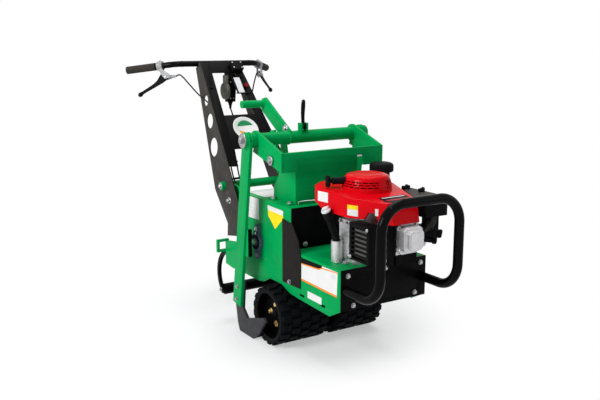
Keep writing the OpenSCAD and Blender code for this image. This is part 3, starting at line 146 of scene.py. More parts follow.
GREEN = shader(
    "green_paint", (0.0, 0.32, 0.08), 0.36, coat=0.015, vary=0.06, scale=14, bump=0.06, bump_scale=260
)
BLACK = shader(
    "black_paint", (0.0035, 0.0035, 0.004), 0.36, coat=0.005, vary=0.25, scale=30, bump=0.08,
    bump_scale=700
)
# Black paint made lighter: painted light on the lit sides of the handle and on the lit lips of the wheel
# rims
LIT_BLACK = shader(
    "lit_black_paint", (0.046, 0.0425, 0.039), 0.45, vary=0.18, scale=30, bump=0.08, bump_scale=700
)
SHIELD = shader(
    "shield_paint", (0.016, 0.0142, 0.0132), 0.45, vary=0.18, scale=30, bump=0.08, bump_scale=700
)
TUBE = shader("gloss_tube", (0.002, 0.002, 0.0022), 0.1, coat=0.06, vary=0.2, scale=20, bump=0.01,
              bump_scale=500, rough_vary=0.04)
RED = shader(
    "red_plastic", (0.62, 0.001, 0.006), 0.24, coat=0.06, vary=0.05, scale=12, bump=0.03, bump_scale=200
)
PLASTIC = shader(
    "black_plastic", (0.007, 0.007, 0.0075), 0.5, vary=0.25, scale=60, bump=0.18, bump_scale=1400
)
RUBBER = shader("black_rubber", (0.028, 0.026, 0.024), 0.75, vary=0.25, scale=80, bump=0.3, bump_scale=900)
TYRE = shader("tyre_rubber", (0.006, 0.0065, 0.0075), 0.62, vary=0.35, scale=50, bump=0.3, bump_scale=500)
ALLOY = shader(
    "cast_alloy", (0.62, 0.62, 0.63), 0.42, metal=0.85, vary=0.1, scale=90, bump=0.25, bump_scale=900
)
ZINC = shader(
    "zinc_plate", (0.40, 0.40, 0.415), 0.32, metal=1.0, vary=0.1, scale=120, bump=0.06, bump_scale=800
)
PERCH_ALLOY = shader(
    "perch_alloy", (0.34, 0.34, 0.35), 0.5, metal=0.1, vary=0.15, scale=90, bump=0.2, bump_scale=900
)
STEEL = shader(
    "machined_steel", (0.5, 0.5, 0.52), 0.3, metal=1.0, vary=0.12, scale=120, bump=0.06, bump_scale=900
)
BLADE = shader(
    "dark_steel", (0.05, 0.05, 0.055), 0.5, metal=0.35, vary=0.18, scale=45, bump=0.14, bump_scale=500
)
IRON = shader("blue_iron", (0.06, 0.1, 0.14), 0.45, vary=0.2, scale=80, bump=0.3, bump_scale=600)
BRASS = shader(
    "yellow_zinc", (0.72, 0.5, 0.2), 0.3, metal=1.0, vary=0.15, scale=150, bump=0.06, bump_scale=700
)
GREY = shader("grey_plastic", (0.16, 0.155, 0.14), 0.5, vary=0.2, scale=80, bump=0.2, bump_scale=900)
LID = shader("lid_plastic", (0.05, 0.048, 0.045), 0.5, vary=0.2, scale=80, bump=0.2, bump_scale=900)
STOP = shader("stop_plastic", (0.17, 0.006, 0.012), 0.4, vary=0.1, scale=60, bump=0.1, bump_scale=700)
PALE = shader("pale_plastic", (0.66, 0.67, 0.68), 0.45, vary=0.05, scale=60, bump=0.1, bump_scale=700)
WHITE = shader("white_film", (0.74, 0.74, 0.73), 0.35, vary=0.02, scale=40, bump=0.02, bump_scale=500)
ORANGE = shader("orange_film", (0.85, 0.25, 0.03), 0.35, vary=0.04, scale=40, bump=0.02, bump_scale=500)
YELLOW = shader("yellow_film", (0.9, 0.68, 0.02), 0.35, vary=0.04, scale=40, bump=0.02, bump_scale=500)
LIME = shader("green_film", (0.02, 0.22, 0.08), 0.35, vary=0.04, scale=40, bump=0.02, bump_scale=500)
GREY_RUBBER = shader("grip_rubber", (0.045, 0.041, 0.036), 0.7, vary=0.2, scale=80, bump=0.3, bump_scale=900)
# Black for the bearing seals, and painted shade inside the starter cover
SEAL_BLACK_AND_SHADE = shader("seal_black_and_painted_shade", (0.004, 0.004, 0.004), 0.8, vary=0.3, scale=60, bump=0.1, bump_scale=600)


# Mesh building

def piece(name, bm, mat, body, smooth=40, replaces=()):
    """Finished object from a bmesh, shaded by angle, riding on a body."""
    bmesh.ops.recalc_face_normals(bm, faces=bm.faces)
    mesh = bpy.data.meshes.new(name)
    bm.to_mesh(mesh)
    bm.free()
    for f in mesh.polygons:
        f.use_smooth = True
    mesh.set_sharp_from_angle(angle=math.radians(smooth))
    obj = bpy.data.objects.new(name, mesh)
    scene.collection.objects.link(obj)
    mats = mat if isinstance(mat, (list, tuple)) else [mat]
    for m in mats:
        mesh.materials.append(m)
    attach(obj, body)
    if replaces:
        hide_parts(*replaces)
    return obj


def axes(direction):
    """Two unit vectors square to a direction."""
    d = Vector(direction).normalized()
    side = Vector((0, 0, 1)) if abs(d.z) < 0.9 else Vector((1, 0, 0))
    u = d.cross(side).normalized()
    return d, u, d.cross(u).normalized()


def add_lathe(bm, centre, direction, profile, count=48, ring=False):
    """Adds a turned form: profile is (radius, along) in millimetres, closed by end faces, or into a ring."""
    d, u, v = axes(direction)
    rings = []
    for r, h in profile:
        base = centre + d * (h * MM)
        if r <= 0:
            rings.append([bm.verts.new(base)])
            continue
        turns = [2 * math.pi * k / count for k in range(count)]
        rings.append([bm.verts.new(base + (u * math.cos(t) + v * math.sin(t)) * (r * MM)) for t in turns])
    for a, b in zip(rings, rings[1:] + (rings[:1] if ring else [])):
        for k in range(count):
            j = (k + 1) % count
            if len(a) == 1:
                bm.faces.new((a[0], b[j], b[k]))
            elif len(b) == 1:
                bm.faces.new((a[k], a[j], b[0]))
            else:
                bm.faces.new((a[k], a[j], b[j], b[k]))
    for end, flip in ((rings[0], True), (rings[-1], False)):
        if len(end) > 1 and not ring:
            bm.faces.new(list(reversed(end)) if flip else end)


def add_loft(bm, sections, count=20):
    """Adds a closed form through oval sections: centre and two vectors across, in metres."""
    turns = [2 * math.pi * k / count for k in range(count)]
    rings = []
    for c, u, v in sections:
        rings.append([bm.verts.new(c + u * math.cos(t) + v * math.sin(t)) for t in turns])
    for a, b in zip(rings, rings[1:]):
        for k in range(count):
            j = (k + 1) % count
            bm.faces.new((a[k], a[j], b[j], b[k]))
    bm.faces.new(list(reversed(rings[0])))
    bm.faces.new(rings[-1])


def add_slab(bm, points, normal, thick):
    """Adds a flat plate: its outline lies on a face, and it stands thick millimetres along normal."""
    lift = Vector(normal).normalized() * (thick * MM)
    low = [bm.verts.new(p) for p in points]
    high = [bm.verts.new(p + lift) for p in points]
    n = len(points)
    bm.faces.new(list(reversed(low)))
    bm.faces.new(high)
    for k in range(n):
        j = (k + 1) % n
        bm.faces.new((low[k], low[j], high[j], high[k]))


def add_box(bm, low, high, frame_of=at):
    """Adds a block between two corners in millimetres of a frame."""
    corners = [
        frame_of(x, y, z)
        for x in (low[0], high[0])
        for y in (low[1], high[1])
        for z in (low[2], high[2])
    ]
    v = [bm.verts.new(c) for c in corners]
    for q in ((0, 1, 3, 2), (4, 6, 7, 5), (0, 4, 5, 1), (2, 3, 7, 6), (0, 2, 6, 4), (1, 5, 7, 3)):
        bm.faces.new([v[i] for i in q])


def rounded(bm, width, angle=35, segments=2):
    """Rounds the sharp edges of a bmesh."""
    edges = [e for e in bm.edges if len(e.link_faces) == 2 and e.calc_face_angle(0) > math.radians(angle)]
    bmesh.ops.bevel(
        bm, geom=edges, offset=width * MM, segments=segments, profile=0.6, affect="EDGES",
        clamp_overlap=True
    )


def tube_mesh(bm, points, radius, count=14):
    """Adds a round tube along points, with a frame carried along it."""
    pts = [Vector(p) for p in points]
    tangents = []
    for i in range(len(pts)):
        a, b = pts[max(i - 1, 0)], pts[min(i + 1, len(pts) - 1)]
        tangents.append((b - a).normalized())
    _, u, _ = axes(tangents[0])
    sections = []
    for p, t in zip(pts, tangents):
        u = (u - t * u.dot(t)).normalized()
        sections.append((p, u * radius * MM, t.cross(u) * radius * MM))
    add_loft(bm, sections, count)


def smooth_route(points, steps=8):
    """Smooth curve through points."""
    pts = [Vector(p) for p in points]
    out = []
    for i in range(len(pts) - 1):
        a, b, c, d = pts[max(i - 1, 0)], pts[i], pts[i + 1], pts[min(i + 2, len(pts) - 1)]
        for k in range(steps):
            t = k / steps
            square = (2 * a - 5 * b + 4 * c - d) * t * t
            cube = (3 * b - a - 3 * c + d) * t ** 3
            out.append((2 * b + (c - a) * t + square + cube) / 2)
    return out + [pts[-1]]


def softened(node, mat, width=1.2, segments=2, angle=35):
    """Copy of a CAD node with its hard edges rounded, standing for the node."""
    bm = bmesh.new()
    bm.from_mesh(nodes[node].data)
    bmesh.ops.remove_doubles(bm, verts=bm.verts, dist=2e-5)
    bmesh.ops.dissolve_limit(bm, angle_limit=math.radians(1.0), verts=bm.verts, edges=bm.edges)
    rounded(bm, width, angle, segments)
    return piece(node + "_edged", bm, mat, nodes[node]["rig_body"], smooth=30, replaces=(node,))


def dress(names, mat):
    """Gives CAD nodes that stay in view a material."""
    for n in names.split():
        nodes[n].data.materials.clear()
        nodes[n].data.materials.append(mat)


def add_bolt(bm, centre, direction, r=8, h=5, washer=12):
    """Adds a hex head with a chamfer on a round washer, seated at centre."""
    add_lathe(bm, centre, direction, [(washer, 0), (washer, 1.4), (washer - 0.8, 2)], 32)
    add_lathe(bm, centre, direction, [(r, 1.8), (r, h + 1), (r * 0.86, h + 2)], 6)


def add_pan(bm, centre, direction, r=7, h=4):
    """Adds a round screw head with a socket."""
    add_lathe(
        bm, centre, direction,
        [
            (r, 0), (r, h * 0.4), (r * 0.86, h * 0.78), (r * 0.6, h), (r * 0.42, h), (r * 0.4, h * 0.4),
            (0, h * 0.4)
        ],
        28
    )


# CAD nodes that keep their own shape
dress("front_guard handlebar", TUBE)
dress("handle_tube lift_tube gear_shelf", GREEN)
dress("tie_tube wheel_right wheel_left", BLACK)
dress("engine_shaft input_pulley crankshaft drive_axle", STEEL)
dress("gearbox", IRON)
dress("chassis_bolts arm_pins blade_bolts lift_shaft", ZINC)
dress("filler_tube", PLASTIC)
dress("engine_block", ALLOY)
dress("stop_button", STOP)

# Sheet metal and plates with rounded edges
for name in "side_plate_right side_plate_left deck_plate gear_case tower lift_front".split():
    softened(name, GREEN, 1.2)
for name in "lift_bars depth_lever".split():
    softened(name, GREEN, 1.6)

# Blade arms: green, with the lower part of their inner side black, as painted shade behind the arm that also
# stands for the dark crank link there
ARM_INNER_X = 237.5
ARM_GREEN_Z = 450
for name in "blade_arm_right blade_arm_left".split():
    place = nodes[name].matrix_world
    for f in softened(name, [GREEN, BLACK], 1.6).data.polygons:
        spot = place @ f.center
        f.material_index = int(abs(spot.x) < ARM_INNER_X * MM and spot.z < ARM_GREEN_Z * MM)
for name in "front_panel case_front".split():
    softened(name, BLACK, 1.2)
softened("side_guards", SHIELD, 1.0)

# Handle sides: black paint, with the faces that look sideways painted charcoal grey as painted light, and
# the faces that look forward or back black
FACE = on_handle(0, 1, 0) - on_handle(0, 0, 0)
FACING = 0.85
for name in "handle_side_right handle_side_left".split():
    for f in softened(name, [LIT_BLACK, BLACK], 1.0).data.polygons:
        f.material_index = int(abs(f.normal.dot(FACE)) > FACING * FACE.length)
for name in "handle_top_plate handle_mid_plate".split():
    softened(name, BLACK, 1.0)
softened("side_knives", BLADE, 2.0)
softened("cutting_blade", BLADE, 0.5)
softened("flange_bearings", IRON, 3.0, 3)
softened("tyre_right", TYRE, 1.4)
softened("tyre_left", TYRE, 1.4)
softened("shroud", RED, 9.0, 4)
softened("valve_cover", ALLOY, 5.0, 3, 50)
softened("muffler", BLACK, 1.6)
softened("fuel_tank", PLASTIC, 7.0, 3)
softened("air_cleaner", PLASTIC, 15.0, 5)
softened("control_box", PLASTIC, 3.0, 3)
softened("throttle_lever", GREY, 2.0)


# Engine

def ring_point(centre, r, angle, z):
    """Point on a level circle of the engine."""
    return on_engine(centre[0] + r * math.cos(angle), centre[1] + r * math.sin(angle), z)


def starter_cover():
    """Recoil cover with rows of short louvre slots on one side and tall ones on the other."""
    count = 120
    inner_share = 0.955
    centre = on_engine(0, 0, 0)
    levels = [
        (83.5, 221), (83.5, 235), (83, 239), (82.4, 243), (81.6, 247), (80.6, 251), (79.5, 255),
        (78.3, 259), (77, 263), (75.5, 267), (73.6, 271.5), (70.6, 275.5), (65.6, 278.6), (54, 280.4),
        (30, 281), (0, 281)
    ]
    bm = bmesh.new()
    rings = []
    for r, z in levels:
        if r == 0:
            rings.append([bm.verts.new(on_engine(0, 0, z))])
        else:
            rings.append(
                [bm.verts.new(ring_point((0, 0), r, 2 * math.pi * k / count, z)) for k in range(count)]
            )
    for i in range(len(rings) - 1):
        for k in range(count):
            turn = 360 * (k + 0.5) / count
            j = (k + 1) % count
            short = 160 < turn < 262 and i in (3, 5, 7) and (k + i) % 5 != 0
            tall = (285 < turn < 360 or turn < 60) and 2 <= i <= 8 and k % 3 != 0
            if short or tall:
                continue
            if len(rings[i + 1]) == 1:
                bm.faces.new((rings[i][k], rings[i][j], rings[i + 1][0]))
            else:
                bm.faces.new((rings[i][k], rings[i][j], rings[i + 1][j], rings[i + 1][k]))
    open_edges = [e for e in bm.edges if len(e.link_faces) == 1]
    inner = {}
    for v in [v for e in open_edges for v in e.verts]:
        if v not in inner:
            x = centre.x + (v.co.x - centre.x) * inner_share
            y = centre.y + (v.co.y - centre.y) * inner_share
            inner[v] = bm.verts.new((x, y, v.co.z))
    for e in open_edges:
        a, b = e.verts
        bm.faces.new((inner[a], a, b, inner[b]))
    piece("recoil_cover", bm, RED, "chassis", 28, ("starter_dome",))
    # Black turned form inside the cover: painted shade seen through the slots
    bm = bmesh.new()
    add_lathe(
        bm, centre, (0, 0, 1),
        [(0, 225), (77, 225), (77, 238), (74, 255), (67, 272), (0, 274)], 64
    )
    piece("recoil_shade", bm, SEAL_BLACK_AND_SHADE, "chassis")
    bm = bmesh.new()
    add_lathe(
        bm, centre, (0, 0, 1),
        [(54, 279.6), (54, 281), (52.5, 282), (50.5, 282), (49, 280.6)], 72, ring=True
    )
    piece("recoil_bead", bm, RED, "chassis")


starter_cover()

# Starter rope: its guide, and the grip that pulls out along it
TURN = math.radians(159)
PULL = Vector((math.cos(TURN), math.sin(TURN), 0))
ROPE_Z = 260
GRIP_OUT = 133
bm = bmesh.new()
add_lathe(bm, on_engine(0, 0, ROPE_Z), PULL, [
    (13, 70), (13, 84), (11.6, 86), (11.6, 111), (12.6, 112), (12.6, 116), (10.4, 118), (6.5, 118)
], 32)
piece("rope_guide", bm, PLASTIC, "chassis")
bm = bmesh.new()
add_lathe(
    bm, on_engine(0, 0, ROPE_Z), PULL, [(4.5, 46), (4.8, 112), (6, 117), (8, 127), (0, GRIP_OUT)], 24
)
grip_c = on_engine(PULL.x * GRIP_OUT, PULL.y * GRIP_OUT, ROPE_Z)
side_v = Vector((-PULL.y, PULL.x, 0))
add_loft(
    bm,
    [
        (grip_c + Vector((0, 0, z * MM)), PULL * (a * MM), side_v * (b * MM))
        for z, a, b in (
            (-19, 4, 5), (-17.6, 7.4, 9.4), (-13, 8.8, 12), (-5, 8.2, 11.4), (0, 8, 11), (5, 8.2, 11.4),
            (13, 8.8, 12), (17.6, 7.4, 9.4), (19, 4, 5)
        )
    ],
    24
)
piece("rope_grip", bm, PLASTIC, "starter_grip", 50, ("starter_grip",))


def fuel_cap():
    """Knurled cap with a domed top on its neck."""
    count = 144
    ribs = 24
    depth = 0.016
    centre = (163, 130)
    levels = (
        (31, 255.4, 0), (40, 255.4, 0), (41.6, 257, 1), (42.4, 261, 1), (42.4, 277, 1), (41, 281, 1),
        (38, 284.6, 0), (30, 287.4, 0), (16, 288.6, 0)
    )
    bm = bmesh.new()
    rings = []
    for r, z, knurl in levels:
        ring = []
        for k in range(count):
            wave = math.cos(ribs * 2 * math.pi * k / count)
            ring.append(bm.verts.new(
                ring_point(centre, r * (1 + depth * knurl * wave), 2 * math.pi * k / count, z)
            ))
        rings.append(ring)
    for a, b in zip(rings, rings[1:]):
        for k in range(count):
            j = (k + 1) % count
            bm.faces.new((a[k], a[j], b[j], b[k]))
    bm.faces.new(rings[-1])
    bm.faces.new(list(reversed(rings[0])))
    piece("knurled_cap", bm, PLASTIC, "fuel_cap", 35, ("fuel_cap",))


fuel_cap()

# Dipstick knob with its wing, and the collar at the top of the filler
TILT = math.radians(23)
FILL = Vector((-math.sin(TILT), 0, math.cos(TILT)))
fill_c = on_engine(-118, 2, 69)
bm = bmesh.new()
add_lathe(
    bm, fill_c, FILL,
    [
        (3.9, 12), (3.9, 108), (13, 109.2), (15.4, 110.4), (16, 113), (15.2, 116), (11, 118), (9, 121),
        (9.4, 124)
    ],
    36
)
wing = [(-13, 117), (-14, 121), (-12, 124.6), (12, 124.6), (14, 121), (13, 117)]
cross = Vector((math.cos(TILT), 0, math.sin(TILT)))
add_slab(
    bm, [fill_c + FILL * (h * MM) + cross * (w * MM) + Vector((0, -3 * MM, 0)) for w, h in wing],
    (0, 1, 0), 6
)
piece("dipstick_knob", bm, PALE, "dipstick", 40, ("dipstick",))
bm = bmesh.new()
add_lathe(
    bm, fill_c, FILL,
    [(11.2, 82), (14, 85), (15, 90), (15, 104), (16.4, 105), (16.4, 107.6), (5, 107.8)], 36
)
add_lathe(bm, fill_c, FILL, [(11.3, 6), (13.5, 8), (13.5, 16), (11.3, 18)], 36)
piece("filler_collar", bm, PLASTIC, "chassis")


# Shroud stickers, plain, and the dark panel on its nose

def decal(name, points, normal, mat, body, thick=0.6):
    """Thin flat panel with softened edges."""
    bm = bmesh.new()
    add_slab(bm, points, normal, thick)
    rounded(bm, 0.25, 50, 1)
    piece(name, bm, mat, body)


decal("shroud_label_a", [at(-140.2, y, z) for y, z in ((-204, 556), (-262, 558), (-262, 591), (-204, 589))],
      (-1, 0, 0), WHITE, "chassis")


SLANT_X = 85
SLANT_Y = 134


def on_slant(t, z):
    """Point on the right slanted wall of the shroud, t from its rear edge to its nose."""
    return on_engine(-140 + SLANT_X * t, -80 - SLANT_Y * t, z)


SLANT = Vector((-SLANT_Y, SLANT_X, 0)).normalized()
decal(
    "shroud_label_b", [on_slant(t, z) for t, z in ((0.02, 172), (0.02, 205), (0.24, 204), (0.24, 170))],
    SLANT, WHITE, "chassis", 0.8
)
decal(
    "shroud_label_c",
    [on_slant(t, z) for t, z in ((0.02, 192), (0.02, 205.4), (0.24, 204.4), (0.24, 191))], SLANT,
    YELLOW, "chassis", 1.1
)
decal(
    "shroud_label_d", [on_slant(t, z) for t, z in ((0.6, 178), (0.6, 200), (0.66, 200), (0.66, 178))],
    SLANT, WHITE, "chassis", 0.8
)


TOP_FALL = 25
TOP_RUN = 322


def on_top(x, y):
    """Point on the sloped top of the shroud, just clear of it."""
    return on_engine(x, y, 244 - (130 - y) * TOP_FALL / TOP_RUN + 0.1)


UP = Vector((0, -TOP_FALL, TOP_RUN)).normalized()
panel = [(-50, -126), (52, -126), (53, -168), (44, -186), (-46, -186), (-62, -172)]
decal("nose_panel", [on_top(x, y) for x, y in panel], UP, BLACK, "chassis", 0.7)
decal(
    "nose_stripe", [on_top(x * 0.86, y) for x, y in ((-56, -160), (61, -160), (61, -167), (-61, -167))],
    UP, RED, "chassis", 1.0
)
decal(
    "nose_line", [on_top(x, y) for x, y in ((-44, -133), (44, -133), (46, -139), (-46, -139))], UP,
    PALE, "chassis", 1.0
)

# Valve cover: flange with bolts and raised panel, and a black sheet in front of the cylinder fins, shaped as
# a cooling baffle, that paints the shade on the fins
bm = bmesh.new()
for x in (-25, 45):
    for z in (68, 138):
        add_lathe(bm, on_engine(x, -189, z), (0, -1, 0), [(9, 0), (9, 11), (8, 12)], 24)
        add_bolt(bm, on_engine(x, -201, z), (0, -1, 0), 5, 4, 7)
piece("cover_bolts", bm, ZINC, "chassis")
bm = bmesh.new()
add_slab(
    bm,
    [
        on_engine(x, -187.6, z)
        for x, z in (
            (-10, 50), (52, 50), (58, 56), (58, 146), (52, 153), (-8, 153), (-15, 146), (-16, 56)
        )
    ],
    (0, -1, 0), 8
)
rounded(bm, 2, 30, 2)
piece("cover_flange", bm, ALLOY, "chassis")
# Black sheet over the cylinder fins: painted shade on the fins, in the form of a baffle
bm = bmesh.new()
add_slab(
    bm, [on_engine(x, -188.2, z) for x, z in ((-62, 16), (-28, 16), (-28, 150), (-62, 150))],
    (0, -1, 0), 2
)
add_slab(bm, [on_engine(x, -188.2, z) for x, z in ((-34, 16), (58, 16), (58, 48), (-34, 48))], (0, -1, 0), 2)
rounded(bm, 0.8, 30, 2)
piece("fin_shade_baffle", bm, BLACK, "chassis")
bm = bmesh.new()
add_slab(
    bm,
    [
        on_engine(x, -243.6, z)
        for x, z in (
            (-10, 78), (30, 78), (34, 83), (34, 122), (29, 129), (-9, 129), (-14, 122), (-14, 83)
        )
    ],
    (0, -1, 0), 3.2
)
rounded(bm, 1.4, 30, 2)
piece("cover_panel", bm, ALLOY, "chassis")

# Spark plug, its boot and lead
bm = bmesh.new()
plug = Vector((-0.62, -0.75, 0.22)).normalized()
plug_at = on_engine(-58, -170, 128)
add_lathe(bm, plug_at, plug, [(9, -6), (9, 6), (6, 8), (6, 16)], 6)
piece("plug_hex", bm, ZINC, "chassis")
bm = bmesh.new()
add_lathe(bm, plug_at, plug, [(7, 14), (9, 16), (9.5, 30), (8, 36), (0, 38)], 24)
tube_mesh(bm, smooth_route([plug_at + plug * 0.03, plug_at + plug * 0.036 + Vector((0, 0.004, 0.016)),
                            on_engine(-72, -172, 166), on_engine(-56, -150, 180)]), 3.4, 12)
piece("plug_boot", bm, RUBBER, "chassis")

# Air cleaner lid, wing knobs, elbow and carburettor
bm = bmesh.new()
lid = [
    (158, 12), (180, 12), (185, 7), (185, -168), (182, -182), (174, -194), (162, -202), (96, -199),
    (84, -188), (77, -150)
]
add_slab(bm, [on_engine(x, y, 207.4) for x, y in lid], (0, 0, 1), 8)
rounded(bm, 2.4, 30, 3)
piece("cleaner_lid", bm, LID, "chassis")
for i, (x, y) in enumerate(((154, -12), (168, -80))):
    bm = bmesh.new()
    add_lathe(
        bm, on_engine(x, y, 215), (0, 0, 1), [(11, 0), (11.6, 2), (10, 6), (8.4, 9), (7, 10), (0, 11)],
        24
    )
    add_slab(
        bm,
        [
            on_engine(x + a * 0.9, y + a * 0.44 - 3, 215 + h)
            for a, h in ((-19, 4), (-20, 11), (-15, 14), (-6, 10), (6, 10), (15, 14), (20, 11), (19, 4))
        ],
        (-0.44, 0.9, 0), 7
    )
    piece("wing_knob_%d" % (i + 1), bm, PLASTIC, "chassis", 40)
bm = bmesh.new()
tube_mesh(
    bm,
    smooth_route(
        [
            on_engine(128, -178, 172), on_engine(128, -180, 150), on_engine(116, -182, 126),
            on_engine(96, -180, 110), on_engine(76, -174, 104)
        ],
        8
    ),
    15, 28
)
piece("intake_elbow", bm, LID, "chassis")
bm = bmesh.new()
add_lathe(
    bm, on_engine(62, -172, 100), (1, 0, 0),
    [(16, 0), (22, 2), (22, 8), (17, 10), (17, 34), (24, 36), (24, 42), (18, 44)], 36
)
add_lathe(
    bm, on_engine(88, -172, 66), (0, 0, 1), [(0, -6), (16, -4), (19, 2), (19, 20), (15, 24), (12, 30)],
    36
)
add_bolt(bm, on_engine(88, -172, 60), (0, 0, -1), 5.5, 4, 8)
piece("carburettor", bm, ALLOY, "chassis")
bm = bmesh.new()
add_lathe(
    bm, on_engine(108, -204, 104), (0.75, -0.66, 0.1),
    [(9, -26), (9, 0), (15, 2), (16, 6), (16, 13), (13, 16), (0, 16)], 28
)
add_lathe(
    bm, on_engine(106, -204, 84), (0.8, -0.6, -0.1),
    [(9, -24), (9, 2), (12, 4), (12, 14), (9, 17), (0, 17)], 24
)
add_loft(bm, [(on_engine(132, -212, 104 + z), Vector((a * MM, 0, 0)), Vector((0, b * MM, 0)))
              for z, a, b in ((-14, 7, 5), (-8, 9, 6), (0, 11, 7), (8, 12, 8), (12, 8, 6))], 18)
piece("choke_and_tap", bm, PLASTIC, "chassis", 45)

# Crankcase ribs and bolts, and the muffler's rivets and core
bm = bmesh.new()
for z in (30, 54, 78, 102, 126):
    add_box(bm, (-104, -40, z), (-96, 8, z + 4), on_engine)
add_box(bm, (-101, -45, 12), (-66, 13, 141), on_engine)
rounded(bm, 1.5, 40, 2)
piece("crankcase_wall", bm, ALLOY, "chassis")
bm = bmesh.new()
for y, z in ((-36, 20), (-36, 134), (5, 134)):
    add_bolt(bm, on_engine(-101, y, z), (-1, 0, 0), 5, 4, 7)
for x, y in ((-116, -40), (-92, -64), (-130, -20)):
    add_bolt(bm, on_engine(x, y, 1), (0, 0, 1), 6, 6, 10)
piece("crankcase_bolts", bm, ZINC, "chassis")
bm = bmesh.new()
for y, z in ((-93, 40), (-177, 140)):
    add_lathe(bm, on_engine(-132.5, y, z), (-1, 0, 0), [(6, 0), (6, 2), (4.6, 3.4), (0, 3.6)], 20)
piece("muffler_rivets", bm, ZINC, "chassis")
bm = bmesh.new()
add_box(bm, (-118, -178, 38), (-98, -92, 142), on_engine)
rounded(bm, 3, 40, 2)
piece("muffler_core", bm, GREY, "chassis")

# Bare label panels on the right side plate and on the case, just clear of the sheet
SIDE_X = -175.1
CASE_TOP = 512.1


def side_panel(name, points, mat, thick=0.6):
    """Flat panel on the right side, its points as Y and Z."""
    decal(name, [at(SIDE_X, y, z) for y, z in points], (-1, 0, 0), mat, "chassis", thick)


side_panel("side_label", ((-158, 276), (-366, 272), (-370, 356), (-158, 354)), WHITE)
side_panel("side_label_low", ((-158, 275), (-366, 271), (-366.3, 277.5), (-158, 281.5)), ORANGE, 0.9)
side_panel(
    "side_label_top", ((-158, 336), (-262, 342), (-282, 350), (-282, 355.5), (-158, 354.5)), BLACK, 0.9
)
side_panel(
    "side_label_edge",
    (
        (-158, 331.5), (-262, 337.5), (-283, 346), (-370, 351.5), (-370, 355), (-283, 350), (-262, 342),
        (-158, 336)
    ),
    ORANGE, 1.0
)
side_panel("side_label_tab", ((-334, 326), (-360, 327), (-360, 343), (-334, 342)), PALE, 0.9)
side_panel("small_label", ((-196, 223), (-280, 222), (-280, 246), (-196, 247)), WHITE)
side_panel("case_label", ((213, 427), (131, 430), (131, 508), (213, 508)), WHITE)
for i, z in enumerate((440, 454, 468, 482)):
    side_panel("case_label_line_%d" % i, ((204, z), (142, z + 1), (142, z + 4), (204, z + 3)), PALE, 0.8)
side_panel("yellow_plate", ((67, 497), (63, 459), (15, 419), (-39, 465), (-39, 494)), YELLOW)
side_panel("yellow_plate_band", ((67, 497), (66, 480), (-39, 477), (-39, 494)), WHITE, 0.8)
decal(
    "top_label", [at(x, y, CASE_TOP) for x, y in ((-150, 128), (-20, 128), (-20, 255), (-150, 255))],
    (0, 0, 1), WHITE, "chassis"
)
decal(
    "top_label_band",
    [at(x, y, CASE_TOP) for x, y in ((-144, 226), (-26, 226), (-26, 248), (-144, 248))], (0, 0, 1),
    PALE, "chassis", 0.9
)

# Fasteners, the tower's ears and the choke wire
bm = bmesh.new()
add_bolt(bm, at(-119, -94.1, 380), (0, -1, 0), 5.5, 4, 9)
add_bolt(bm, at(119, -94.1, 380), (0, -1, 0), 5.5, 4, 9)
for s in (-1, 1):
    add_bolt(bm, at(s * 220, *LIFT_PIVOT), (s, 0, 0), 10, 6, 17)
    for y in (-30, 78):
        add_bolt(bm, at(s * 144, y, 516), (0, 0, 1), 7, 5, 10)
piece("frame_bolts", bm, ZINC, "chassis")
bm = bmesh.new()
for s in (-1, 1):
    for y in (-30, 78):
        add_box(bm, (s * 132, y - 17, 512), (s * 157, y + 17, 516))
rounded(bm, 1.5, 40, 2)
piece("tower_ears", bm, GREEN, "chassis")
bm = bmesh.new()
tube_mesh(bm, [at(-122, -54, 513), at(-122, -55, 523), at(-126, -100, 536), at(-124, -168, 550)], 1.2, 8)
piece("choke_wire", bm, PALE, "chassis")
bm = bmesh.new()
add_bolt(bm, at(-78.1, 100, 764), (-1, 0, 0), 9, 7, 14)
piece("lever_nut", bm, ZINC, "lift_frame")
bm = bmesh.new()
for s in (-1, 1):
    add_bolt(bm, at(s * 155.1, *TILT_TUBE), (s, 0, 0), 8, 6, 13)
piece("handle_bolts", bm, ZINC, "chassis")
bm = bmesh.new()
for s in (-1, 1):
    add_lathe(bm, at(s * 145.2, *LOCK), (s, 0, 0), [(13, 0), (13, 2.4), (12, 3.2), (6, 3.2)], 32)
    add_lathe(bm, at(s * 148.2, *LOCK), (s, 0, 0), [(8, 0), (8, 8.2), (7, 9.4), (0, 9.4)], 6)
piece("lock_bolts", bm, ZINC, "handle")

# Bearings: seals and grease nipples
for s, tag in ((-1, "right"), (1, "left")):
    c = at(s * 190.1, *CRANK)
    bm = bmesh.new()
    add_lathe(bm, c, (s, 0, 0), [(27, -1), (27, 1.2), (25, 2), (19, 2), (18, -1)], 48, ring=True)
    piece("bearing_seal_" + tag, bm, SEAL_BLACK_AND_SHADE, "chassis")
    bm = bmesh.new()
    add_lathe(
        bm, at(s * 186, CRANK[0], CRANK[1] + 25), (s * 0.5, -0.4, 0.75),
        [(4.4, 0), (4.4, 6), (2.6, 8), (3.4, 11), (2.4, 14), (0, 15)], 16
    )
    piece("grease_nipple_" + tag, bm, ZINC, "chassis")

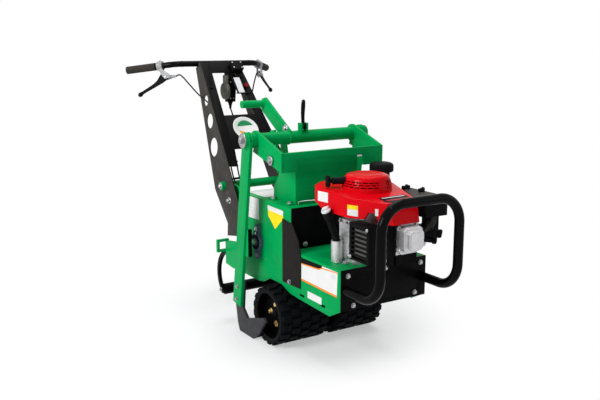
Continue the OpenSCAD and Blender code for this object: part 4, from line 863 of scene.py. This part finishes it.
# Wheels: bolts on the webs, hub caps and rim lips
BOLT_RING = 37
WEB_BOLTS = 4
FIRST_BOLT = 0.02
for s, tag in ((-1, "right"), (1, "left")):
    bm = bmesh.new()
    for i in range(WEB_BOLTS):
        a = 2 * math.pi * (i + FIRST_BOLT) / WEB_BOLTS
        spot = at(s * 182, BOLT_RING * math.cos(a), WHEEL[1] + BOLT_RING * math.sin(a))
        add_bolt(bm, spot, (s, 0, 0), 9, 6, 12)
    piece("hub_bolts_" + tag, bm, BRASS, "drive_wheels")
    bm = bmesh.new()
    add_lathe(bm, at(s * 182, *WHEEL), (s, 0, 0), [(24, 0), (24, 3), (20, 5), (14, 5), (13, 8), (0, 8)], 40)
    piece("hub_cap_" + tag, bm, BLACK, "drive_wheels")
    # Rim lips in the lighter black paint: a painted highlight along the lit lip of the black wheel
    bm = bmesh.new()
    add_lathe(
        bm, at(s * 220, *WHEEL), (s, 0, 0),
        [(84, -8), (84, -0.6), (86, 0), (89, 0), (90, -0.8), (90, -8)], 96, ring=True
    )
    piece("rim_lip_" + tag, bm, LIT_BLACK, "drive_wheels")


# Weld beads

def weld(name, centre, direction, r, body, size=3.0):
    """Ring of weld around a tube."""
    bm = bmesh.new()
    count = 72
    ripples = 23
    height = 0.5
    _, u, v = axes(direction)
    pts = []
    for k in range(count + 1):
        a = 2 * math.pi * k / count
        wave = height * math.sin(a * ripples) * MM
        pts.append(centre + (u * math.cos(a) + v * math.sin(a)) * (r * MM + wave))
    tube_mesh(bm, pts, size, 8)
    piece(name, bm, GREEN, body, 60)


for s, tag in ((-1, "right"), (1, "left")):
    weld("arm_weld_in_" + tag, at(s * 238, *ARM_PIN), (s, 0, 0), 26.5, "cutter")
    weld("arm_weld_out_" + tag, at(s * 250, *ARM_PIN), (s, 0, 0), 26.5, "cutter")
    weld("bracket_weld_" + tag, at(s * 125, *TILT_TUBE), (s, 0, 0), 17.4, "chassis")
    weld("tube_weld_" + tag, at(s * 205, *ARM_PIN), (s, 0, 0), 23.4, "lift_frame")
weld("lever_weld", at(-78, *LEVER_GRIP), (1, 0, 0), 14.4, "lift_frame", 2.4)
weld("lever_root_weld", at(-78, *ARM_PIN), (1, 0, 0), 23.2, "lift_frame")
bm = bmesh.new()
add_lathe(
    bm, at(-170, *LEVER_GRIP), (-1, 0, 0), [(14, -1), (14, 0), (12.6, 1), (10, 1), (9.6, -4), (0, -4)],
    36
)
piece("lever_tube_end", bm, GREEN, "lift_frame")

# Handlebar: the place of its middle, where its bend ends, and the lengths of its swept ends and grips
BAR_Y = 806.898
BAR_Z = 978.160
BEND_X = 211.209
BEND_Y = 22.266
REACH = 197.52
GRIP_L = 135
TIP = math.radians(10)
SWEEP = math.radians(47)

# Hand levers: where the perch starts, the pivot along and below the bar, and how far they hang and turn
PERCH = 28.50
PIVOT = 14.52
GAP = 52.98
DROP = math.radians(28)
ROLL = math.radians(13)


def on_bar(s, x, y, z):
    """Point in the frame of a handlebar end, x along it, mirrored by the sign s."""
    bx = BEND_X + x * math.cos(SWEEP) - y * math.sin(SWEEP)
    by = BEND_Y + x * math.sin(SWEEP) + y * math.cos(SWEEP)
    return at(
        s * bx, BAR_Y + by * math.cos(TIP) + z * math.sin(TIP),
        BAR_Z - by * math.sin(TIP) + z * math.cos(TIP)
    )


def on_perch(s, x, y, z):
    """The same, in the plane of the lever, which is turned forward about the bar."""
    return on_bar(s, x, y * math.cos(ROLL) + z * math.sin(ROLL), z * math.cos(ROLL) - y * math.sin(ROLL))


def on_lever(s, a, b, c):
    """Point in the frame of a hand lever, a along it."""
    return on_perch(
        s, PIVOT + a * math.cos(DROP) + c * math.sin(DROP), b,
        -GAP - a * math.sin(DROP) + c * math.cos(DROP)
    )


# Ribbed grips
bm = bmesh.new()
for s in (-1, 1):
    start = on_bar(s, REACH - GRIP_L, 0, 0)
    end = on_bar(s, REACH, 0, 0)
    profile = [(13, 0), (16.5, 0), (16.5, 5)]
    for k in range(24):
        h = 6 + k * 5.2
        profile += [(15.5, h), (15.5, h + 1.6), (16.2, h + 2.2), (16.2, h + 4.6)]
    profile += [(16.4, 131), (15.4, 134), (12, GRIP_L), (0, GRIP_L)]
    add_lathe(bm, start, end - start, profile, 40)
piece("ribbed_grips", bm, GREY_RUBBER, "handle", 35, ("grips",))

# Hand levers: tapering blades with ball ends, screws, cable adjusters and brackets
LEVER_FORM = (
    (-11, 4, 5, 3.6), (-8, 5, 12, 5), (0, 6, 18, 5.5), (14, 6, 20, 5.6), (26, 2.6, 16.5, 5.6),
    (42, -1, 11.5, 5.4), (62, -2, 9, 5.2), (84, -1, 7.8, 5), (106, 0.4, 7.2, 4.8), (122, 0.6, 7, 5),
    (128, 0.2, 8.6, 8), (134, 0, 10, 9.6), (140, 0, 8.6, 8.2), (144, 0, 4.6, 4.4), (145, 0, 1.5, 1.5),
)
for s, tag in ((-1, "right"), (1, "left")):
    body = tag + "_lever"
    bm = bmesh.new()
    add_loft(
        bm,
        [
            (
                on_lever(s, a, 0, c), (on_lever(s, a, 0, c + h) - on_lever(s, a, 0, c)),
                (on_lever(s, a, t, c) - on_lever(s, a, 0, c))
            )
            for a, c, h, t in LEVER_FORM
        ],
        24
    )
    piece("lever_blade_" + tag, bm, PLASTIC, body, 60, ("hand_lever_" + tag,))
    bm = bmesh.new()
    across = on_perch(s, PIVOT, 1, 0) - on_perch(s, PIVOT, 0, 0)
    add_pan(bm, on_perch(s, PIVOT, -11.1, -GAP), -across, 6, 3)
    add_pan(bm, on_perch(s, PIVOT, 11.1, -GAP), across, 6, 3)
    add_bolt(bm, on_bar(s, PERCH + 12, 0, 19.2), on_bar(s, 0, 0, 1) - on_bar(s, 0, 0, 0), 4.6, 3, 6)
    piece("perch_screws_" + tag, bm, ZINC, "handle")
    bm = bmesh.new()
    inward = on_bar(s, 0, 0, 0) - on_bar(s, 1, 0, 0)
    add_lathe(
        bm, on_perch(s, PIVOT - 23.5, 0, -GAP), inward,
        [
            (7, 0), (7, 5), (5.2, 6), (5.2, 9), (6.6, 10), (6.6, 16), (5.2, 17), (5.2, 22.4), (4.2, 24),
            (3.2, 25)
        ],
        24
    )
    piece("adjuster_" + tag, bm, PERCH_ALLOY, "handle")
softened("lever_perches", PERCH_ALLOY, 1.2)


# Control cables on the routes of the CAD solids
LEVER_ROUTE = [
    (156, 34, 506), (130, 38, 458), (104, 40, 424), (92, 32, 380), (98, 26, 300), (102, 24, 200),
    (104, 30, 110), (105, 44, 40), (104, 42, -24)
]
THROTTLE_ROUTE = [
    (30, 96, 372), (-6, 48, 316), (-34, 24, 270), (-62, 20, 200), (-75, 28, 110), (-78, 44, 40),
    (-77, 42, -24)
]
ADJUSTER_END = -31.75
STRAIGHT_END = -53.73
UNIT_X = 47.01
GLAND_BACK = 29
CABLE_R = 3


def cable(name, route):
    """Control cable on its route, with a crimped and threaded fitting on its lower end."""
    path = smooth_route(route, 12)
    bm = bmesh.new()
    tube_mesh(bm, path, CABLE_R, 14)
    cord = piece(name, bm, RUBBER, "handle", 60, ("control_cables",))
    bm = bmesh.new()
    add_lathe(bm, path[-1], path[-1] - path[-2], [
        (CABLE_R, -20), (4.4, -18), (4.4, -6), (5.4, -5), (5.4, 1), (3, 2), (3, 7), (2.2, 8)
    ], 24)
    fitting = piece(name + "_end", bm, ZINC, "handle")


for s, tag in ((-1, "right"), (1, "left")):
    start = [on_perch(s, x, 0, -GAP) for x in (ADJUSTER_END, STRAIGHT_END)]
    cable("lever_cable_" + tag, start + [on_handle(s * x, n, w) for x, n, w in LEVER_ROUTE])
start = [at(UNIT_X, HANG[0] + GLAND_BACK, HANG[1] - drop) for drop in (126.25, 152)]
cable("throttle_cable", start + [on_handle(*p) for p in THROTTLE_ROUTE])
bm = bmesh.new()
for w, n, x0, x1 in ((110, 29, -107, -72), (40, 44, -108, -75)):
    loop = [(x0, n - 5), (x1, n - 5), (x1 + 4, n), (x1, n + 5), (x0, n + 5), (x0 - 4, n)]
    add_slab(bm, [on_handle(x, y, w - 2.5) for x, y in loop], on_handle(0, 0, 1) - on_handle(0, 0, 0), 5)
piece("cable_ties", bm, PLASTIC, "handle")

# Control box: gland, raised cover and screws, and the label plate beside it
NORMAL = on_handle(0, -1, 0) - on_handle(0, 0, 0)
bm = bmesh.new()
add_lathe(
    bm, at(47, HANG[0] + GLAND_BACK, HANG[1] - 125.5), (0, 0, -1),
    [(11, 0), (11, 6), (8, 8), (8, 14), (6, 16), (5, 28), (3.2, 32)], 28
)
piece("cable_gland", bm, PLASTIC, "handle")

# Plug in the spare switch hole, which faces the stop button on the other side
button_low, button_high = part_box("stop_button")
spare = (button_low + button_high) / 2
spare.x = -spare.x
bm = bmesh.new()
add_lathe(bm, spare, NORMAL, [(5.6, -5.5), (5.6, -1.9), (8.5, -1.9), (8.5, -0.6), (7.6, 0.2), (0, 0.4)], 32)
piece("hole_plug", bm, BLACK, "handle")


UNIT_BACK = 13
UNIT_FALL = 102


def on_unit(x, t):
    """Point on the front face of the hanging control, t from its top to its foot."""
    return at(x, HANG[0] + 3 + UNIT_BACK * t, HANG[1] - 24 - UNIT_FALL * t)


OUT = Vector((0, -UNIT_FALL, -UNIT_BACK)).normalized()
bm = bmesh.new()
add_slab(
    bm,
    [
        on_unit(x, t)
        for x, t in ((33, 0.08), (61, 0.08), (61, 0.86), (57, 0.92), (37, 0.92), (33, 0.86))
    ],
    OUT, 3
)
rounded(bm, 1.4, 30, 2)
piece("box_cover", bm, PLASTIC, "handle")
bm = bmesh.new()
for x, t in ((37, 0.14), (57, 0.14), (39, 0.84), (55, 0.84)):
    add_pan(bm, on_unit(x, t) + OUT * 0.003, OUT, 3.4, 1.6)
for x, w in ((47, 546), (87, 546), (47, 573), (87, 573)):
    add_pan(bm, on_handle(x, -26, w), NORMAL, 3.4, 1.6)
piece("box_screws", bm, ZINC, "handle")
bm = bmesh.new()
add_slab(bm, [on_handle(x, -8, w) for x, w in ((26, 420), (64, 420), (64, 508), (26, 508))], NORMAL, 2)
rounded(bm, 0.6, 40, 2)
piece("label_plate", bm, BLACK, "handle")
decal(
    "label_plate_face",
    [on_handle(x, -10.1, w) for x, w in ((34, 424), (62, 424), (62, 503), (34, 503))], NORMAL, PALE,
    "handle"
)
bm = bmesh.new()
tube_mesh(bm, [on_handle(20, -12, 420), on_handle(80, -6, 420), on_handle(92, -5, 421)], 2.4, 12)
tube_mesh(bm, [on_handle(20, -12, 508), on_handle(72, -6, 508), on_handle(84, -5, 509)], 2.4, 12)
piece("label_wires", bm, BLACK, "handle")

# Throttle quadrant face
bm = bmesh.new()
add_lathe(
    bm, at(13, *THROTTLE), (-1, 0, 0),
    [(32, -0.2), (32, 1.2), (30, 2), (14, 2), (13, 4), (9, 5), (0, 5)], 48
)
piece("throttle_face", bm, GREY, "throttle")

# Round badge on the middle plate: plain, with two bare areas of colour
BADGE = (5, 246)
BADGE_ARC = 38
bm = bmesh.new()
add_lathe(
    bm, on_handle(BADGE[0], -4.1, BADGE[1]), NORMAL,
    [(57, 0), (57, 1), (56, 1.6), (51, 1.6), (50.4, 1.2), (0, 1.2)], 72
)
piece("badge", bm, WHITE, "handle")
for name, turns, mat in (
    ("badge_upper", range(20, 165, 8), LIME), ("badge_lower", range(195, 300, 8), ORANGE)
):
    bm = bmesh.new()
    arc = []
    for turn in turns:
        a = math.radians(turn)
        arc.append(on_handle(BADGE[0] + BADGE_ARC * math.cos(a), -5.3, BADGE[1] + BADGE_ARC * math.sin(a)))
    add_slab(bm, arc, NORMAL, 0.5)
    piece(name, bm, mat, "handle")

# Latch lever: curved black handle on its hub
bm = bmesh.new()
add_lathe(bm, at(-26, *LATCH), (1, 0, 0), [(6, 0), (12, 0), (12, 14), (6, 14)], 32)
add_loft(
    bm,
    [
        (at(-19 + x, LATCH[0] + y, LATCH[1] + z), Vector((a * MM, 0, 0)), Vector((0, b * MM, 0)))
        for z, x, y, a, b in (
            (4, 0, 0, 6.5, 7), (14, 0, 0.4, 6.4, 6.6), (30, 0, 1.6, 6.4, 7), (46, 0, 1.6, 6.8, 8),
            (60, 0, 0.6, 7, 9.2), (74, 0, -0.8, 7, 9.8), (86, 0, -2, 6.8, 9), (93, 0, -3, 5.4, 6.6),
            (96, 0, -3.4, 2.4, 3)
        )
    ],
    24
)
piece("latch_handle", bm, TUBE, "latch", 60, ("latch_lever",))


# Drive belt

def belt():
    """Belt with tapered sides round its two pulleys."""
    bm = bmesh.new()
    front_r = 35
    rear_r = 53
    front_y = ENGINE[1]
    rear_y = 128
    tilt = math.acos((rear_r - front_r) / (rear_y - front_y))
    path = []
    steps = 24
    section = ((1, 261), (1, 269), (7.4, 272), (8, 271), (8, 259), (7.4, 258))
    for k in range(steps + 1):
        a = math.pi / 2 + (math.pi - tilt) * (1 - 2 * k / steps) + math.pi
        path.append((front_r * math.cos(a), front_y + front_r * math.sin(a), math.cos(a), math.sin(a)))
    for k in range(steps + 1):
        a = math.pi / 2 + tilt * (1 - 2 * k / steps)
        path.append((-rear_r * math.cos(a), rear_y + rear_r * math.sin(a), -math.cos(a), math.sin(a)))
    rings = []
    for x, y, nx, ny in path:
        rings.append([bm.verts.new(at(x + nx * d, y + ny * d, z)) for d, z in section])
    for a, b in zip(rings, rings[1:] + rings[:1]):
        for k in range(len(section)):
            j = (k + 1) % len(section)
            bm.faces.new((a[k], a[j], b[j], b[k]))
    piece("v_belt", bm, RUBBER, "chassis", 40, ("drive_belt",))


belt()

# Camera
FOCAL_PX = 780.2
IMAGE_W = 600
SENSOR = 36.0
YAW = math.radians(32.553)
PITCH = math.radians(11.466)
cam_data = bpy.data.cameras.new("camera")
cam_data.sensor_width = SENSOR
cam_data.lens = FOCAL_PX * SENSOR / IMAGE_W
cam = bpy.data.objects.new("camera", cam_data)
scene.collection.objects.link(cam)
cam.location = at(-1551.4, -2303.9, 1070.7)
cam.rotation_euler = (math.pi / 2 - PITCH, 0, -YAW)
scene.camera = cam


# Floor and light: the floor keeps its shadow near the machine and turns white further out

def seen_directly(tree):
    """Socket that is 1 for rays from the camera, a reflection or clear material, and 0 for others."""
    path = tree.nodes.new("ShaderNodeLightPath")
    seen = tree.nodes.new("ShaderNodeMath")
    seen.operation = "MAXIMUM"
    tree.links.new(path.outputs["Is Camera Ray"], seen.inputs[0])
    tree.links.new(path.outputs["Is Glossy Ray"], seen.inputs[1])
    either = tree.nodes.new("ShaderNodeMath")
    either.operation = "MAXIMUM"
    tree.links.new(seen.outputs["Value"], either.inputs[0])
    tree.links.new(path.outputs["Is Transmission Ray"], either.inputs[1])
    return either.outputs["Value"]


floor_mesh = bpy.data.meshes.new("floor")
floor_bm = bmesh.new()
bmesh.ops.create_grid(floor_bm, x_segments=2, y_segments=2, size=30)
floor_bm.to_mesh(floor_mesh)
floor_bm.free()
floor = bpy.data.objects.new("floor", floor_mesh)
scene.collection.objects.link(floor)
floor_mat = shader(
    "pale_floor", (0.93, 0.94, 0.96), 0.5, vary=0.01, scale=3, bump=0.01, bump_scale=40, specular=0.25
)
floor_mesh.materials.append(floor_mat)
tree = floor_mat.node_tree
out_node = tree.nodes["Material Output"]
white = tree.nodes.new("ShaderNodeEmission")
white.inputs["Color"].default_value = (1, 1, 1, 1)
white.inputs["Strength"].default_value = 1.0
blend = tree.nodes.new("ShaderNodeMixShader")
place = tree.nodes.new("ShaderNodeTexCoord")
span = tree.nodes.new("ShaderNodeVectorMath")
span.operation = "LENGTH"
tree.links.new(place.outputs["Object"], span.inputs[0])
fade = tree.nodes.new("ShaderNodeMapRange")
fade.interpolation_type = "SMOOTHSTEP"
fade.inputs["From Min"].default_value = 0.38
fade.inputs["From Max"].default_value = 0.7
fade.inputs["To Min"].default_value = 0.42
tree.links.new(span.outputs["Value"], fade.inputs["Value"])
far = tree.nodes.new("ShaderNodeMath")
far.operation = "MULTIPLY"
tree.links.new(fade.outputs["Result"], far.inputs[0])
tree.links.new(seen_directly(tree), far.inputs[1])
tree.links.new(far.outputs["Value"], blend.inputs["Fac"])
tree.links.new(tree.nodes["Principled BSDF"].outputs["BSDF"], blend.inputs[1])
tree.links.new(white.outputs["Emission"], blend.inputs[2])
tree.links.new(blend.outputs["Shader"], out_node.inputs["Surface"])

world = bpy.data.worlds.new("studio")
world.use_nodes = True
scene.world = world
tree = world.node_tree
back = tree.nodes["Background"]
back.inputs["Color"].default_value = (1, 1, 1, 1)
level = tree.nodes.new("ShaderNodeMapRange")
level.inputs["To Min"].default_value = 0.28
level.inputs["To Max"].default_value = 1.0
tree.links.new(seen_directly(tree), level.inputs["Value"])
tree.links.new(level.outputs["Result"], back.inputs["Strength"])


# Lamps: the small one draws the highlights on gloss tube and plastic

def lamp(name, place, aim, size, power):
    """Round soft lamp at a place, turned to its aim."""
    data = bpy.data.lights.new(name, "AREA")
    data.shape = "DISK"
    data.size = size
    data.energy = power
    obj = bpy.data.objects.new(name, data)
    scene.collection.objects.link(obj)
    obj.location = Vector(place)
    obj.rotation_euler = (Vector(aim) - Vector(place)).to_track_quat("-Z", "Y").to_euler()


lamp("key", (-3.5, -0.5, 2.3), (0, -0.1, 0.4), 1.8, 108)
lamp("fill", (2.6, -2.6, 1.6), (0, -0.1, 0.4), 2.2, 6)
lamp("top", (0.3, 0.3, 3.2), (0, 0, 0.3), 2.2, 50)
lamp("glint", (-0.5, -1.5, 2.6), (0, -0.3, 0.5), 0.2, 6)

scene.view_settings.view_transform = "Standard"
